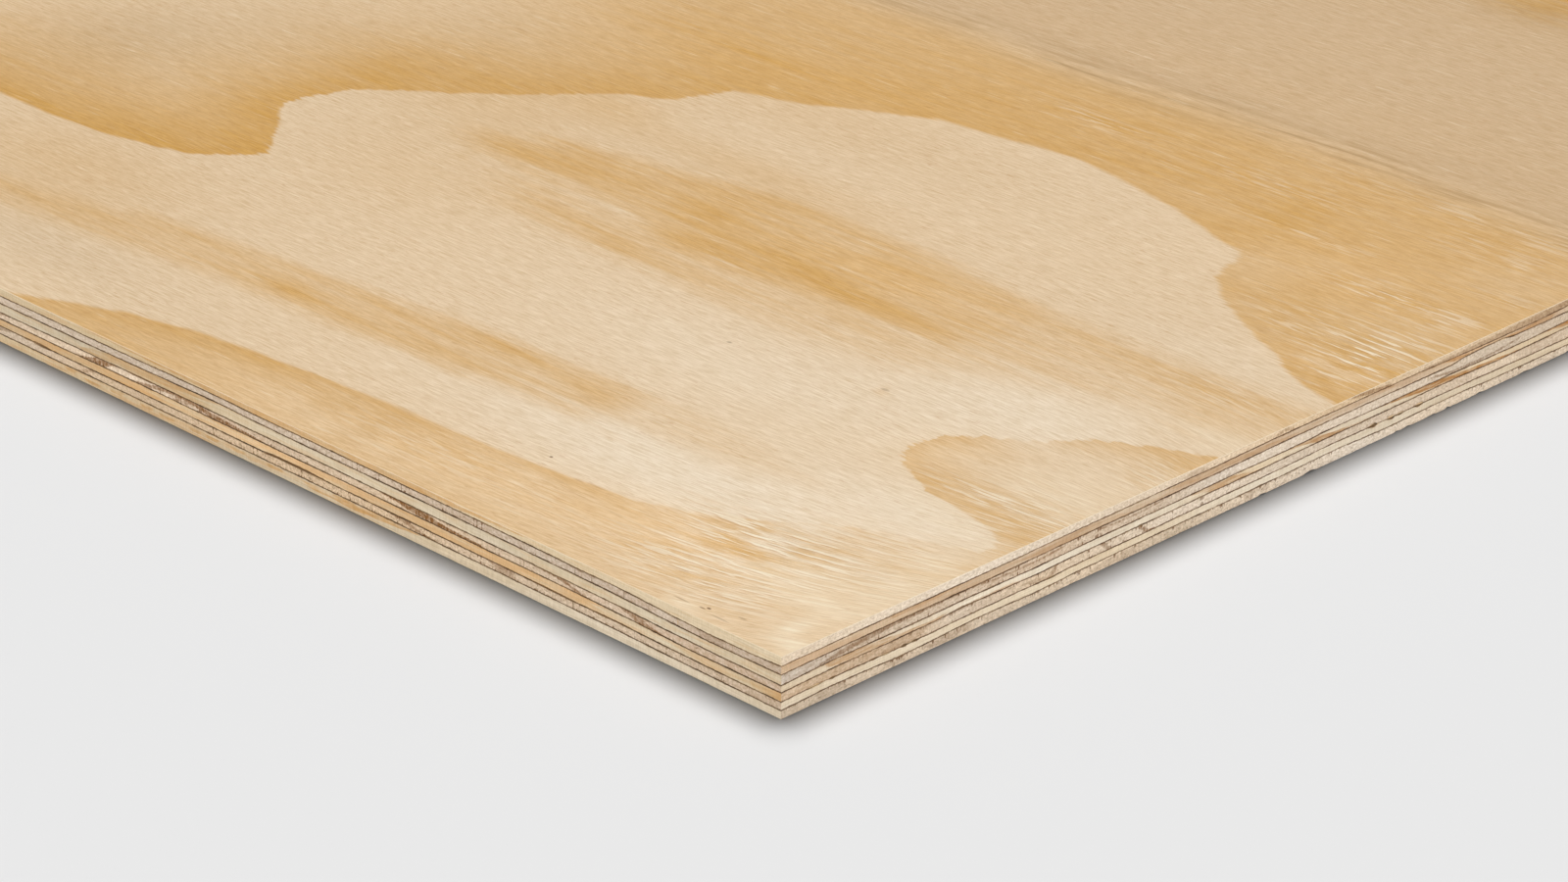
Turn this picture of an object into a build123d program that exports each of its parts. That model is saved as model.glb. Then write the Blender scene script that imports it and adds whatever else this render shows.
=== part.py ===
from build123d import *

import os

# A full sheet of 18 mm seven-ply softwood plywood, lying face up. X runs along its length and
# its face grain, Y across its width, Z up, and the origin is the middle of its underside.

# Sheet
SHEET_LENGTH = 2440.0
SHEET_WIDTH = 1220.0

# Thickness of each veneer, from the face down to the back
FACE_VENEER = 2.3
UPPER_CROSSBAND = 2.2
UPPER_CORE = 2.75
CENTRE_CROSSBAND = 2.15
LOWER_CORE = 2.55
LOWER_CROSSBAND = 2.2
BACK_VENEER = 2.65

# Cured glue between two veneers
GLUE_LINE = 0.2

# Crossbands are laid from peeled veneer sheets with their grain across the plywood, butted
# edge to edge. Sheets are laid from the +X end, and the first is trimmed to its own width, so
# that no two joints of neighbouring crossbands lie over each other.
PEELED_SHEET_WIDTH = 1250.0
UPPER_FIRST_SHEET = 38.0
CENTRE_FIRST_SHEET = 830.0
LOWER_FIRST_SHEET = 440.0


def layer(thickness, base):
    """One unbroken layer of the whole sheet, standing on the height given as its base."""
    middle = Pos(0, 0, base + thickness / 2)
    return middle * Box(SHEET_LENGTH, SHEET_WIDTH, thickness)


def peeled_sheet(start, end, thickness, base):
    """One veneer sheet of a crossband, between two places along X."""
    middle = Pos((start + end) / 2, 0, base + thickness / 2)
    return middle * Box(end - start, SHEET_WIDTH, thickness)


def crossband(name, thickness, base, first_sheet):
    """The butted sheets of one crossband, numbered from the +X end."""
    sheets = {}
    end = SHEET_LENGTH / 2
    width = first_sheet
    while end > -SHEET_LENGTH / 2:
        start = max(end - width, -SHEET_LENGTH / 2)
        sheets[f"{name}_sheet_{len(sheets) + 1}"] = peeled_sheet(start, end, thickness, base)
        end = start
        width = PEELED_SHEET_WIDTH
    return sheets


def lay_up():
    """Every veneer and glue line, stacked from the back up to the face."""
    courses = [
        ("back_veneer", BACK_VENEER, None),
        ("lower_crossband", LOWER_CROSSBAND, LOWER_FIRST_SHEET),
        ("lower_core_veneer", LOWER_CORE, None),
        ("centre_crossband", CENTRE_CROSSBAND, CENTRE_FIRST_SHEET),
        ("upper_core_veneer", UPPER_CORE, None),
        ("upper_crossband", UPPER_CROSSBAND, UPPER_FIRST_SHEET),
        ("face_veneer", FACE_VENEER, None),
    ]
    pieces = {}
    base = 0.0
    for number, (name, thickness, first_sheet) in enumerate(courses):
        if number > 0:
            glue_number = len(courses) - number
            pieces[f"glue_line_{glue_number}"] = layer(GLUE_LINE, base)
            base += GLUE_LINE
        if first_sheet is None:
            pieces[name] = layer(thickness, base)
        else:
            pieces.update(crossband(name, thickness, base, first_sheet))
        base += thickness
    return pieces


def write_parts(pieces):
    """Writes each piece to a file of its own name."""
    os.makedirs("parts", exist_ok=True)
    for name, solid in pieces.items():
        export_step(solid, f"parts/{name}.step")


write_parts(lay_up())
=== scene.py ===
import math

import bpy
import numpy as np
from mathutils import Matrix, Vector


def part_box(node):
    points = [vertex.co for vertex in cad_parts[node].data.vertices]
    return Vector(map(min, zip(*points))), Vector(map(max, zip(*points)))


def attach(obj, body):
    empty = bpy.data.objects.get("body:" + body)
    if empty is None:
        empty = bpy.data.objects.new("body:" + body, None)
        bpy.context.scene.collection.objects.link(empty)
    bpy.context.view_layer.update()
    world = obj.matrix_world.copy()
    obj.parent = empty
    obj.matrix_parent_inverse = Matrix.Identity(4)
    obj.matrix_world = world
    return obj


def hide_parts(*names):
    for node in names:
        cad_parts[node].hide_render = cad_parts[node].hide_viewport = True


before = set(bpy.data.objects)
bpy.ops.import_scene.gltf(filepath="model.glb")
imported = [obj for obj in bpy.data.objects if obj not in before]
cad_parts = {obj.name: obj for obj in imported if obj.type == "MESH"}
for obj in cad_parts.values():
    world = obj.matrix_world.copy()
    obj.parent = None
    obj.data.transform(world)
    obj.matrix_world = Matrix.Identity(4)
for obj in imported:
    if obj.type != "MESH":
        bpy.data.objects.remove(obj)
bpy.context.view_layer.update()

bl_info = {
    "name": "Plywood Sheet",
    "version": (1, 0, 0),
    "blender": (4, 5, 0),
    "location": "View3D > Sidebar > Plywood",
    "description": "Builds a full sheet of seven-ply softwood plywood, veneer by veneer",
    "category": "Add Mesh",
}

MM = 0.001
SEED = 7

# The sheet, in millimetres. Runs start at the photographed corner, at the +X end of the near long
# edge, and heights at the underside.
LENGTH = 2440.0
WIDTH = 1220.0
THICKNESS = 18.0
LAST_PLY = 7

# Short end, far long edge, left end and near long edge, in the order of the walk around the sheet
SHORT, FAR, LEFT, NEAR = range(4)

# Seen stretch of each edge, and how far beyond it placed wood passes into free wood
SEEN_RUN = 334.0
SEEN_FADE = 30.0

# Cells of the face and back: small where the face is seen, and smallest by the corner
CORNER_CELL = 2.0
CORNER_ZONE = 60.0
FINE_CELL = 4.0
FACE_ZONE_X = 600.0
FACE_ZONE_Y = 620.0
PLAIN_CELL = 12.0

# Columns of the sawn edges: narrow in cells that end before a run, and two to a plain cell
SEEN_COLUMN = 1.34
SEEN_CELLS_END = 348.0
COLUMNS_IN_PLAIN_CELL = 2
NARROWEST_COLUMN = 0.2

# Rows of a veneer's sawn edge, as shares of its height
ROW_SHARES = (0.0, 0.05, 0.14, 0.24, 0.34, 0.44, 0.54, 0.64, 0.74, 0.84, 0.94, 1.0)

# Hidden sides: how far in their rim reaches, and how many columns one rim face spans
CAP_INSET = 24.0
CAP_STEP = 9

# Slots of a veneer's materials. The third is its broad face, or a joint in a crossband.
SIDE_GRAIN, END_GRAIN, BROAD_FACE, HIDDEN = range(4)

# Areas of the baking map, as (left, bottom, right, top)
STRIP_AREA = (0.0, 0.045, 1.0, 1.0)
LOW_CAP_AREA = (0.0, 0.0, 0.5, 0.04)
HIGH_CAP_AREA = (0.5, 0.0, 1.0, 0.04)
BROAD_AREA = (0.0, 0.0, 1.0, 0.8)
BROAD_CAP_AREA = (0.0, 0.805, 1.0, 0.84)
BROAD_STRIP_AREA = (0.0, 0.845, 1.0, 1.0)

# What the meshes tell the materials, three values to each name
FIGURE_VALUES = {
    "figure": ("phase", "warm", "strength"),
    "figure_slope": ("rise_x", "rise_y", "shift"),
    "figure_tone": ("pink", "streaks", "worn"),
    "figure_wear_and_light": ("raised", "base", "lightness"),
}
HIDDEN_VALUES = {
    "figure": (0.3, 0.0, 0.5), "figure_slope": (0.0, 0.0, 0.0), "figure_tone": (0.4, 0.0, 0.0),
    "figure_wear_and_light": (0.0, 0.0, 0.0), "ring": (-6.0, 0.5, 0.0), "run": (0.0, 0.0, 0.0),
    "layer": (3.0, 0.0, 3.0), "cast": (0.0, 0.0, 0.0),
}
HIDDEN_GLUE_VALUES = {"run": (0.0, 0.0, 0.0)}

# Waves along an edge, each as (first seed, length, height)
EDGE_ROW = 9.0
GLUE_WANDER = ((20, 27.0, 0.16), (40, 150.0, 0.3))
GLUE_TREMOR = ((60, 5.0, 0.05),)
GLUE_SWELL = ((80, 1.8, 0.5), (90, 9.0, 0.35))
GLUE_SHRINK = ((240, 2.0, 0.6),)
TONE_DRIFT = ((120, 70.0, 0.55), (140, 16.0, 0.16))
TONE_TREMOR = ((160, 9.0, 0.1),)
GREY_DRIFT = ((190, 80.0, 0.2),)
LIGHT_DRIFT = ((200, 80.0, 0.05),)
SPLIT_DRIFT = ((180, 60.0, 0.25),)
USUAL_SPLITS = 0.25
USUAL_TONE = 0.2

# Over these runs a glue line comes back to its usual height at a corner
END_SETTLE = 12.0
CORNER_SETTLE = 3.0

# An open place in a glue line at least this high lets the glue stand deep
DEEP_GAP = 0.1
GAP_DEPTH = 4.0

# Late-wood bands where the photograph shows no edge, each value drawn between two limits
END_GRAIN_BANDS = {"gap": (24, 60), "slant": (6, 26), "width": (3, 11), "strength": (0.35, 0.85)}
SIDE_GRAIN_BANDS = {"gap": (70, 190), "slant": (30, 90), "width": (18, 60), "strength": (0.25, 0.6)}
BANDS_AFTER_SEEN = 12.0
BANDS_AFTER_CORNER = 8.0
BANDS_BEFORE_END = 20.0
BAND_OVERLAP = 0.4
LEANING_BACK = 0.35

# Heights count this much against runs in a mark's depth, which is felt this far off
MARK_STRETCH = 3.5
MARK_REACH = 8.0
NO_MARK_DEPTH = -6.0
NO_MARK_STRENGTH = 0.5

# Usual heights of the six glue lines, from the one under the face down to the one above the back
GLUE_LEVELS = (15.6, 13.2, 10.25, 7.9, 5.15, 2.75)

# Their heights along the two seen edges, as (run, height)
GLUE_ON_EDGES = {
    NEAR: (
        ((0, 15.2), (10, 14.8), (27, 14.6), (40, 14.9), (50, 15.3), (62, 15.7), (75, 15.6), (90, 15.8),
         (120, 15.95), (150, 15.9), (210, 15.9), (225, 16.1), (250, 15.95), (262, 15.75), (285, 15.5),
         (300, 15.5), (334, 15.35)),
        ((0, 12.75), (27, 12.5), (45, 12.9), (65, 13.4), (90, 13.5), (115, 13.6), (140, 13.7),
         (190, 13.7), (215, 13.8), (226, 14.1), (245, 13.8), (262, 13.5), (285, 13.15), (300, 13.1),
         (334, 12.9)),
        ((0, 9.7), (20, 9.7), (40, 9.9), (60, 10.3), (85, 10.5), (110, 10.6), (165, 10.6), (185, 10.7),
         (210, 10.5), (240, 10.55), (270, 10.4), (300, 10.2), (315, 9.95), (334, 9.85)),
        ((0, 7.6), (15, 7.45), (35, 7.45), (50, 7.85), (70, 8.2), (90, 8.25), (115, 8.25), (150, 8.35),
         (175, 8.3), (230, 8.2), (260, 8.2), (285, 8.1), (300, 7.8), (334, 7.7)),
        ((0, 4.95), (20, 4.9), (45, 5.05), (60, 5.35), (80, 5.3), (100, 5.5), (160, 5.6), (183, 5.6),
         (188, 5.85), (203, 5.8), (207, 5.5), (240, 5.5), (270, 5.5), (290, 5.3), (334, 5.3)),
        ((0, 2.5), (20, 2.55), (40, 2.65), (60, 2.9), (85, 3.05), (110, 3.15), (165, 3.2), (220, 3.1),
         (260, 3.05), (290, 2.9), (305, 2.75), (334, 2.7)),
    ),
    SHORT: (
        ((0, 15.2), (20, 15.3), (40, 15.4), (60, 15.4), (85, 15.3), (105, 15.6), (155, 15.7), (168, 15.6),
         (185, 15.9), (205, 16), (260, 15.95), (275, 15.7), (290, 15.4), (320, 15.3), (334, 15.7)),
        ((0, 12.75), (15, 12.95), (40, 13.05), (70, 12.9), (100, 13.1), (120, 13.3), (150, 13.25),
         (180, 13.45), (205, 13.7), (260, 13.55), (277, 13.55), (282, 14.2), (292, 14.6), (301, 14.55),
         (306, 13.9), (334, 13.7)),
        ((0, 9.7), (17, 10.3), (30, 10.2), (50, 10.1), (70, 10.3), (95, 10), (120, 10.3), (150, 10.35),
         (175, 10.5), (200, 10.5), (213, 10.65), (217, 10.9), (245, 10.75), (280, 10.7), (300, 10.4),
         (315, 10.3), (334, 10.7)),
        ((0, 7.6), (22, 8), (40, 7.8), (58, 7.85), (66, 8.3), (85, 8), (97, 7.8), (110, 8.1), (150, 8.1),
         (165, 8.3), (190, 8.2), (210, 8.5), (235, 8.45), (262, 8.6), (280, 8.6), (300, 8.15), (334, 8.5)),
        ((0, 4.95), (15, 5.3), (35, 5), (50, 4.85), (75, 5.1), (100, 4.95), (115, 5.25), (140, 5.2),
         (165, 5.4), (200, 5.5), (220, 5.85), (240, 5.6), (260, 5.55), (290, 5.3), (310, 5), (334, 4.75)),
        ((0, 2.5), (18, 3), (30, 2.7), (42, 2.4), (55, 2.4), (72, 2.95), (85, 2.75), (97, 2.5),
         (115, 2.9), (165, 3.05), (205, 3.1), (215, 3.35), (225, 3.4), (235, 3.1), (250, 2.8), (265, 3.1),
         (285, 3.15), (295, 2.7), (334, 2.5)),
    ),
}

# How thick the glue lines show on the two seen edges, against their usual thickness
GLUE_WIDTHS = {
    NEAR: (1.05, 1.35, 1.2, 1.3, 1.3, 1.25),
    SHORT: (0.9, 1.05, 1, 1.05, 0.85, 0.85),
}

# Open places in the glue lines, as (glue line, side, from, to, half height)
GLUE_GAPS = (
    (5, NEAR, 181, 207, 0.36), (5, NEAR, 308, 315.5, 0.4), (5, NEAR, 317, 320, 0.3),
    (5, NEAR, 57, 70, 0.2), (5, NEAR, 77, 94, 0.22), (3, NEAR, 259, 269, 0.22),
    (5, SHORT, 10, 13.5, 0.36), (5, SHORT, 18, 19.7, 0.3), (5, SHORT, 33.4, 34.8, 0.28),
    (5, SHORT, 37.6, 38.8, 0.3), (5, SHORT, 44.6, 46.2, 0.44), (5, SHORT, 48.8, 50.2, 0.4),
    (5, SHORT, 102, 103.8, 0.32), (5, SHORT, 239.3, 241.9, 0.64), (5, SHORT, 247.5, 250, 0.64),
    (5, SHORT, 252, 253.9, 0.48), (5, SHORT, 260.3, 263.1, 0.62), (1, NEAR, 10, 16, 0.05),
)

# Dense wood, or paler wood where the strength is below zero, as (strength, (run, height) outline)
MARKS = {
    (1, NEAR): (
        (0.6, ((88, 18.3), (100, 17.4), (110, 17), (120, 16.6), (135, 16.2), (150, 15.6), (228, 15.6),
               (235, 16.7), (250, 17), (265, 17.2), (280, 17.5), (295, 17.85), (302, 18.3))),
    ),
    (2, NEAR): (
        (0.5, ((67, 15.8), (84, 15.8), (80, 15.3), (75, 15), (70, 15.3))),
        (0.2, ((20, 15), (31, 15), (30, 12.4), (22, 12.4))),
    ),
    (3, NEAR): (
        (0.45, ((222, 13.9), (246, 14), (276, 13.3), (284, 12.6), (291, 11.5), (293, 10.4), (250, 11.6),
                (236, 12.8))),
    ),
    (4, NEAR): (
        (0.7, ((53, 10.4), (61.5, 10.5), (57, 9.3), (53, 7.9), (42, 7.6), (49, 8.8))),
        (0.75, ((81, 10.7), (94, 10.8), (94, 10.3), (86, 10), (80, 9.2), (76, 8.1), (71, 8.1), (76, 9),
                (80, 9.9))),
        (0.95, ((138, 10.8), (160, 10.8), (155, 10.2), (149, 9.8), (146, 9), (137, 8.6), (132, 8.1),
                (111, 8.1), (116, 8.9), (125, 9.1), (132, 9.5))),
        (0.85, ((201, 8), (213, 8.9), (224, 9.5), (232, 9.8), (238, 10.8), (251, 10.8), (252, 9.9),
                (243, 9.8), (238, 9.4), (233, 8.7), (231, 8))),
        (0.75, ((246, 10.6), (252, 10.5), (258, 9.9), (263, 9.1), (269, 8), (261, 8), (258, 8.8),
                (253, 9.5), (246, 9.9))),
        (0.6, ((240, 10), (243, 10), (245, 8.8), (242, 8.6))),
        (0.7, ((244.5, 10), (247.5, 10), (248.5, 8.2), (246.5, 8.2))),
        (0.85, ((270, 10.8), (283, 10.8), (286, 9.6), (290, 8.7), (297, 7.8), (284, 7.8), (280, 8.6),
                (277, 9.8))),
        (0.5, ((318, 10.1), (336, 10.1), (336, 8.6), (328, 9.6))),
    ),
    (5, NEAR): (
        (0.35, ((-1, 7), (11, 6.9), (11, 5.6), (-1, 5.2))),
        (0.25, ((27, 6.3), (36, 6.8), (47, 7.3), (40, 6.4), (34, 5.6))),
    ),
    (6, NEAR): (
        (0.5, ((103, 5.8), (113, 5.8), (110, 4.5), (107, 2.9), (99, 2.9), (102, 4.2))),
        (0.65, ((147, 5.8), (157, 5.8), (151, 5), (146, 4.2), (141, 3.5), (134, 3), (131, 3.3),
                (139, 3.8), (143, 4.7))),
        (0.5, ((284.5, 5.5), (287.5, 5.5), (291.5, 4.2), (294.5, 2.8), (292, 2.8), (289, 4))),
        (0.45, ((325, 5.4), (336, 5.4), (336, 3.4), (329, 4.4))),
    ),
    (7, NEAR): (
        (0.7, ((140, 2.8), (155, 3.2), (172, 2.6), (178, 1.7), (194, 1.3), (170, 0.9), (154, 1.6))),
        (0.6, ((199, 2.6), (207, 2.4), (206, 1.6), (200, 1.7))),
        (0.5, ((216, 2.4), (223, 2.1), (221, 1.3), (217, 1.5))),
        (0.6, ((228, 2.2), (234.5, 2), (233, 1.1), (229, 1.2))),
        (0.5, ((236, 2), (242, 1.9), (240, 1.1), (237, 1.1))),
        (0.6, ((248, 2.1), (256, 2), (255, 1.1), (249, 1.2))),
        (0.65, ((258, 2.3), (264.5, 2.1), (263, 1.2), (259, 1.3))),
        (0.5, ((272, 2.4), (279, 2.2), (278, 1.3), (273, 1.5))),
        (0.55, ((283, 1.7), (291, 1.5), (289, 0.7), (284, 0.8))),
        (0.45, ((295, 2.3), (301, 2.1), (299, 1.3), (296, 1.4))),
        (0.45, ((184, 2.5), (191, 2.4), (189, 1.6), (185, 1.7))),
        (0.5, ((168, 2.9), (176, 2.8), (178, 2.1), (172, 2))),
        (0.35, ((210, 1.6), (216, 1.5), (214, 0.8), (211, 0.9))),
    ),
    (1, SHORT): (
        (0.3, ((156, 15.8), (167, 15.8), (165, 17.4), (159, 17.2))),
        (0.45, ((195.5, 16.6), (201, 17.8), (205, 16.1), (203, 16), (200.8, 16.9), (197.5, 16.3))),
        (0.6, ((225, 18.4), (233, 18.4), (241, 17.2), (247, 16.6), (249.5, 15.7), (244, 15.8),
               (238, 16.4), (231, 17.2))),
        (0.42, ((262, 16.5), (285, 16.7), (336, 17.7), (336, 15.2), (300, 15.2), (268, 15.7))),
    ),
    (2, SHORT): (
        (0.3, ((88, 14), (112, 15.1), (130, 14.6), (136, 13.2), (100, 13))),
        (0.4, ((148, 15.3), (162, 15.6), (185, 15.2), (206, 14.6), (205, 14.1), (180, 14), (158, 14.2))),
        (0.5, ((238, 16.2), (251, 16.2), (249, 15.2), (244, 15.4))),
        (0.7, ((261, 16.6), (272, 16.5), (278, 15.5), (284, 14.7), (291, 14.3), (284, 14), (279, 14.2),
               (275, 15), (270, 15.6), (261, 15.8))),
        (0.6, ((303, 13.7), (324, 14), (327, 15.2), (336, 15.6), (336, 16.4), (328, 16.3), (320, 15.1),
               (303, 14.6))),
        (0.3, ((40, 15.2), (62, 15.3), (80, 14.6), (58, 14.3), (42, 14.4))),
    ),
    (3, SHORT): (
        (0.62, ((12, 10.3), (20, 10.8), (27, 11.2), (34, 11.6), (42, 12.1), (52, 12.3), (62, 12.5),
                (77, 12.6), (77, 13.3), (38, 13.3), (30, 12.8), (22, 12.2), (16, 11.2))),
        (0.6, ((74, 12.9), (80, 12.3), (90, 12), (98, 12.1), (107, 12.8), (107, 12.2), (98, 11.6),
               (90, 11.5), (80, 11.8), (74, 12.3))),
        (0.55, ((122, 13), (130, 12.5), (138, 12.35), (149, 13), (149, 12.5), (138, 11.9), (130, 12.05),
                (122, 12.5))),
        (0.6, ((267, 12.8), (276, 11.7), (288, 11.4), (300, 11.8), (310, 12.9), (310, 12.2), (300, 11.2),
               (288, 10.9), (275, 11.1), (267, 12.2))),
        (-0.3, ((276, 14), (303, 14.3), (318, 12.8), (300, 12), (285, 12))),
    ),
    (4, SHORT): (
        (0.62, ((15, 10.6), (22, 10.3), (33, 9.9), (44, 9), (52, 8.6), (60, 8.4), (58, 7.7), (40, 7.6),
                (22, 7.8), (17, 9))),
        (0.5, ((58, 8.6), (75, 8.8), (90, 8.5), (99, 7.9), (75, 8))),
        (0.6, ((159, 10.3), (176, 10.7), (181, 9.6), (190, 8.4), (170, 8), (165, 9.2))),
        (0.75, ((197, 10.8), (213, 10.9), (219, 9.9), (228, 9.2), (240, 8.6), (216, 8.3), (209, 9.7))),
        (0.9, ((240, 11), (268, 10.9), (280, 9.9), (295, 9.1), (310, 8.4), (300, 7.9), (280, 8.5),
               (262, 9.2), (250, 10.2))),
        (1, ((315, 10.5), (336, 10.9), (336, 8.9), (326, 10))),
    ),
    (5, SHORT): (
        (-0.6, ((285, 7.5), (307, 7.7), (310, 5.5), (292, 5.3))),
        (-0.5, ((130, 8), (134, 7.8), (140, 5.4), (136, 5.4))),
        (-0.45, ((54, 6.6), (62, 7.9), (71, 7.6), (61, 5.4), (50, 5.3))),
        (0.35, ((57, 7.4), (68, 8.2), (76, 8.3), (66, 7.2))),
        (0.6, ((103.6, 8.1), (105.2, 8.1), (103, 5), (101.4, 5))),
        (0.6, ((121.8, 8.1), (123.4, 8.1), (127.2, 5.2), (125.4, 5.2))),
        (0.75, ((136.8, 8.2), (138.8, 8.2), (142, 5.9), (147, 5.1), (141, 5.2))),
        (0.35, ((90, 6.6), (94, 6.8), (106, 4.8), (98, 4.8))),
    ),
    (7, SHORT): (
        (0.2, ((12, 2.4), (22, 2.8), (25, 0.5), (14, 0.4))),
        (0.22, ((37, 2.3), (46, 2.4), (45, 0.5), (40, 0.5))),
        (0.3, ((52, 1.8), (62, 2.4), (71, 2.6), (70, 0.7), (56, 0.4))),
        (0.22, ((117, 1.5), (128, 2.5), (139, 2.5), (136, 0.3), (120, 0.3))),
        (0.3, ((183, 3), (188, 3), (187, 0.7), (184, 0.7))),
        (0.3, ((190, 3), (194, 3), (194, 0.9), (191, 0.9))),
        (0.2, ((196, 3), (205, 3.2), (203, 2.3), (199, 2.4))),
        (-0.35, ((24, 2.6), (36, 2.3), (36, 0.6), (27, 0.5))),
        (-0.35, ((214, 2.9), (280, 2.4), (276, 0.6), (222, 0.6))),
    ),
}

# Tone of the wood along each seen edge, from -1 for the palest to 1 for the deepest
TONES = {
    (1, NEAR): ((0, -0.1), (90, 0.0), (334, 0.1)),
    (2, NEAR): (
        (0, 0.75), (12, 0.45), (20, 0.5), (36, 0.5), (41, 0.1), (52, 0.5), (90, 0.1), (115, 0.3),
        (150, 0.2), (200, 0.1), (230, 0.1), (290, 0.0), (334, 0.1)),
    (3, NEAR): ((0, 0.25), (30, 0.2), (90, 0.0), (210, -0.05), (240, 0.25), (290, 0.2), (334, 0.1)),
    (4, NEAR): (
        (0, 0.75), (35, 0.65), (60, 0.35), (90, 0.0), (180, -0.1), (200, 0.05), (232, 0.3), (262, -0.2),
        (300, -0.15), (334, 0.1)),
    (5, NEAR): (
        (0, 0.8), (12, 0.2), (28, 0.45), (45, 0.1), (62, 0.3), (75, 0.9), (130, 0.95), (200, 0.85),
        (240, 0.65), (334, 0.8)),
    (6, NEAR): ((0, 0.4), (50, -0.2), (90, -0.1), (150, -0.3), (200, -0.1), (240, -0.2), (334, -0.2)),
    (7, NEAR): ((0, -0.7), (60, -0.8), (130, -0.6), (160, 0.2), (200, 0.25), (240, 0.4), (334, 0.1)),
    (1, SHORT): (
        (0, -0.8), (90, -0.9), (150, -0.7), (190, -0.6), (262, -0.4), (290, -0.2), (334, 0.15)),
    (2, SHORT): ((0, 0.9), (60, 0.8), (90, 0.95), (140, 0.6), (190, 0.9), (240, 0.7), (334, 0.95)),
    (3, SHORT): (
        (0, 0.1), (25, 0.3), (50, 0.0), (90, 0.25), (140, 0.0), (190, -0.6), (262, -0.5), (334, -0.1)),
    (4, SHORT): ((0, -0.1), (20, -0.2), (60, -0.5), (90, -1), (150, -0.8), (300, -0.7), (334, -0.3)),
    (5, SHORT): (
        (0, 0.4), (50, 0.5), (62, 0.0), (90, -0.25), (120, -0.6), (180, -0.6), (240, -0.2), (265, -0.1),
        (334, 0.0)),
    (6, SHORT): ((0, -0.8), (60, -0.9), (200, -1), (300, -0.7), (334, -0.7)),
    (7, SHORT): (
        (0, -0.5), (50, -0.5), (90, -0.7), (130, -0.9), (200, -1), (240, -1), (290, -0.9), (334, -0.8)),
}

# How grey the wood is along each seen edge, or how warm below zero
GREYNESS = {
    (1, NEAR): ((0, 0), (110, -0.3), (215, -0.2), (236, -0.8), (334, -0.4)),
    (2, NEAR): ((0, 0.7), (60, 0.8), (120, 0.5), (334, 0.6)),
    (3, NEAR): (
        (0, 0.4), (42, 0.8), (70, 0.2), (100, 0.5), (209, 0.3), (236, -0.5), (264, -0.4), (292, 0.8),
        (334, 0.5)),
    (4, NEAR): (
        (0, 0.7), (60, 0.5), (97, -0.1), (150, -0.4), (209, 0.0), (260, 0.3), (292, 0.0), (334, 0.2)),
    (5, NEAR): ((0, -0.4), (42, 0.7), (97, 0.1), (209, 0.4), (240, 0.1), (264, -0.7), (334, 0.2)),
    (6, NEAR): ((0, 0.2), (110, -0.1), (153, -0.7), (236, -0.6), (292, -0.5), (320, 0.3)),
    (7, NEAR): ((0, 0.3), (70, 0.5), (125, 0.0), (181, 0.6), (236, 0.1), (334, -0.5)),
    (1, SHORT): ((0, 0.1), (70, 0.7), (150, 0.1), (209, -0.9), (236, -1.2), (264, -0.6), (334, -1.1)),
    (2, SHORT): ((0, 0.1), (90, 0.4), (264, 0.6), (292, -0.5), (320, 0.5)),
    (3, SHORT): (
        (0, 1.1), (14, 0.9), (26, 0.3), (150, 0.3), (170, 1), (209, 0.6), (262, 0.5), (334, 0.2)),
    (4, SHORT): (
        (0, 0.0), (42, 0.5), (97, 0.6), (153, 0.3), (181, -0.5), (236, 0.4), (264, -0.4), (334, -0.7)),
    (5, SHORT): ((0, -0.2), (50, -0.1), (66, 0.5), (97, -0.2), (150, 0.7), (334, 0.1)),
    (6, SHORT): ((0, 0.1), (97, 0.0), (125, -0.4), (181, 0.5), (236, 0.3), (334, -0.3)),
    (7, SHORT): ((0, 0.2), (80, 0.3), (153, 0.0), (236, 1), (264, 0.4), (334, 0.4)),
}
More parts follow.
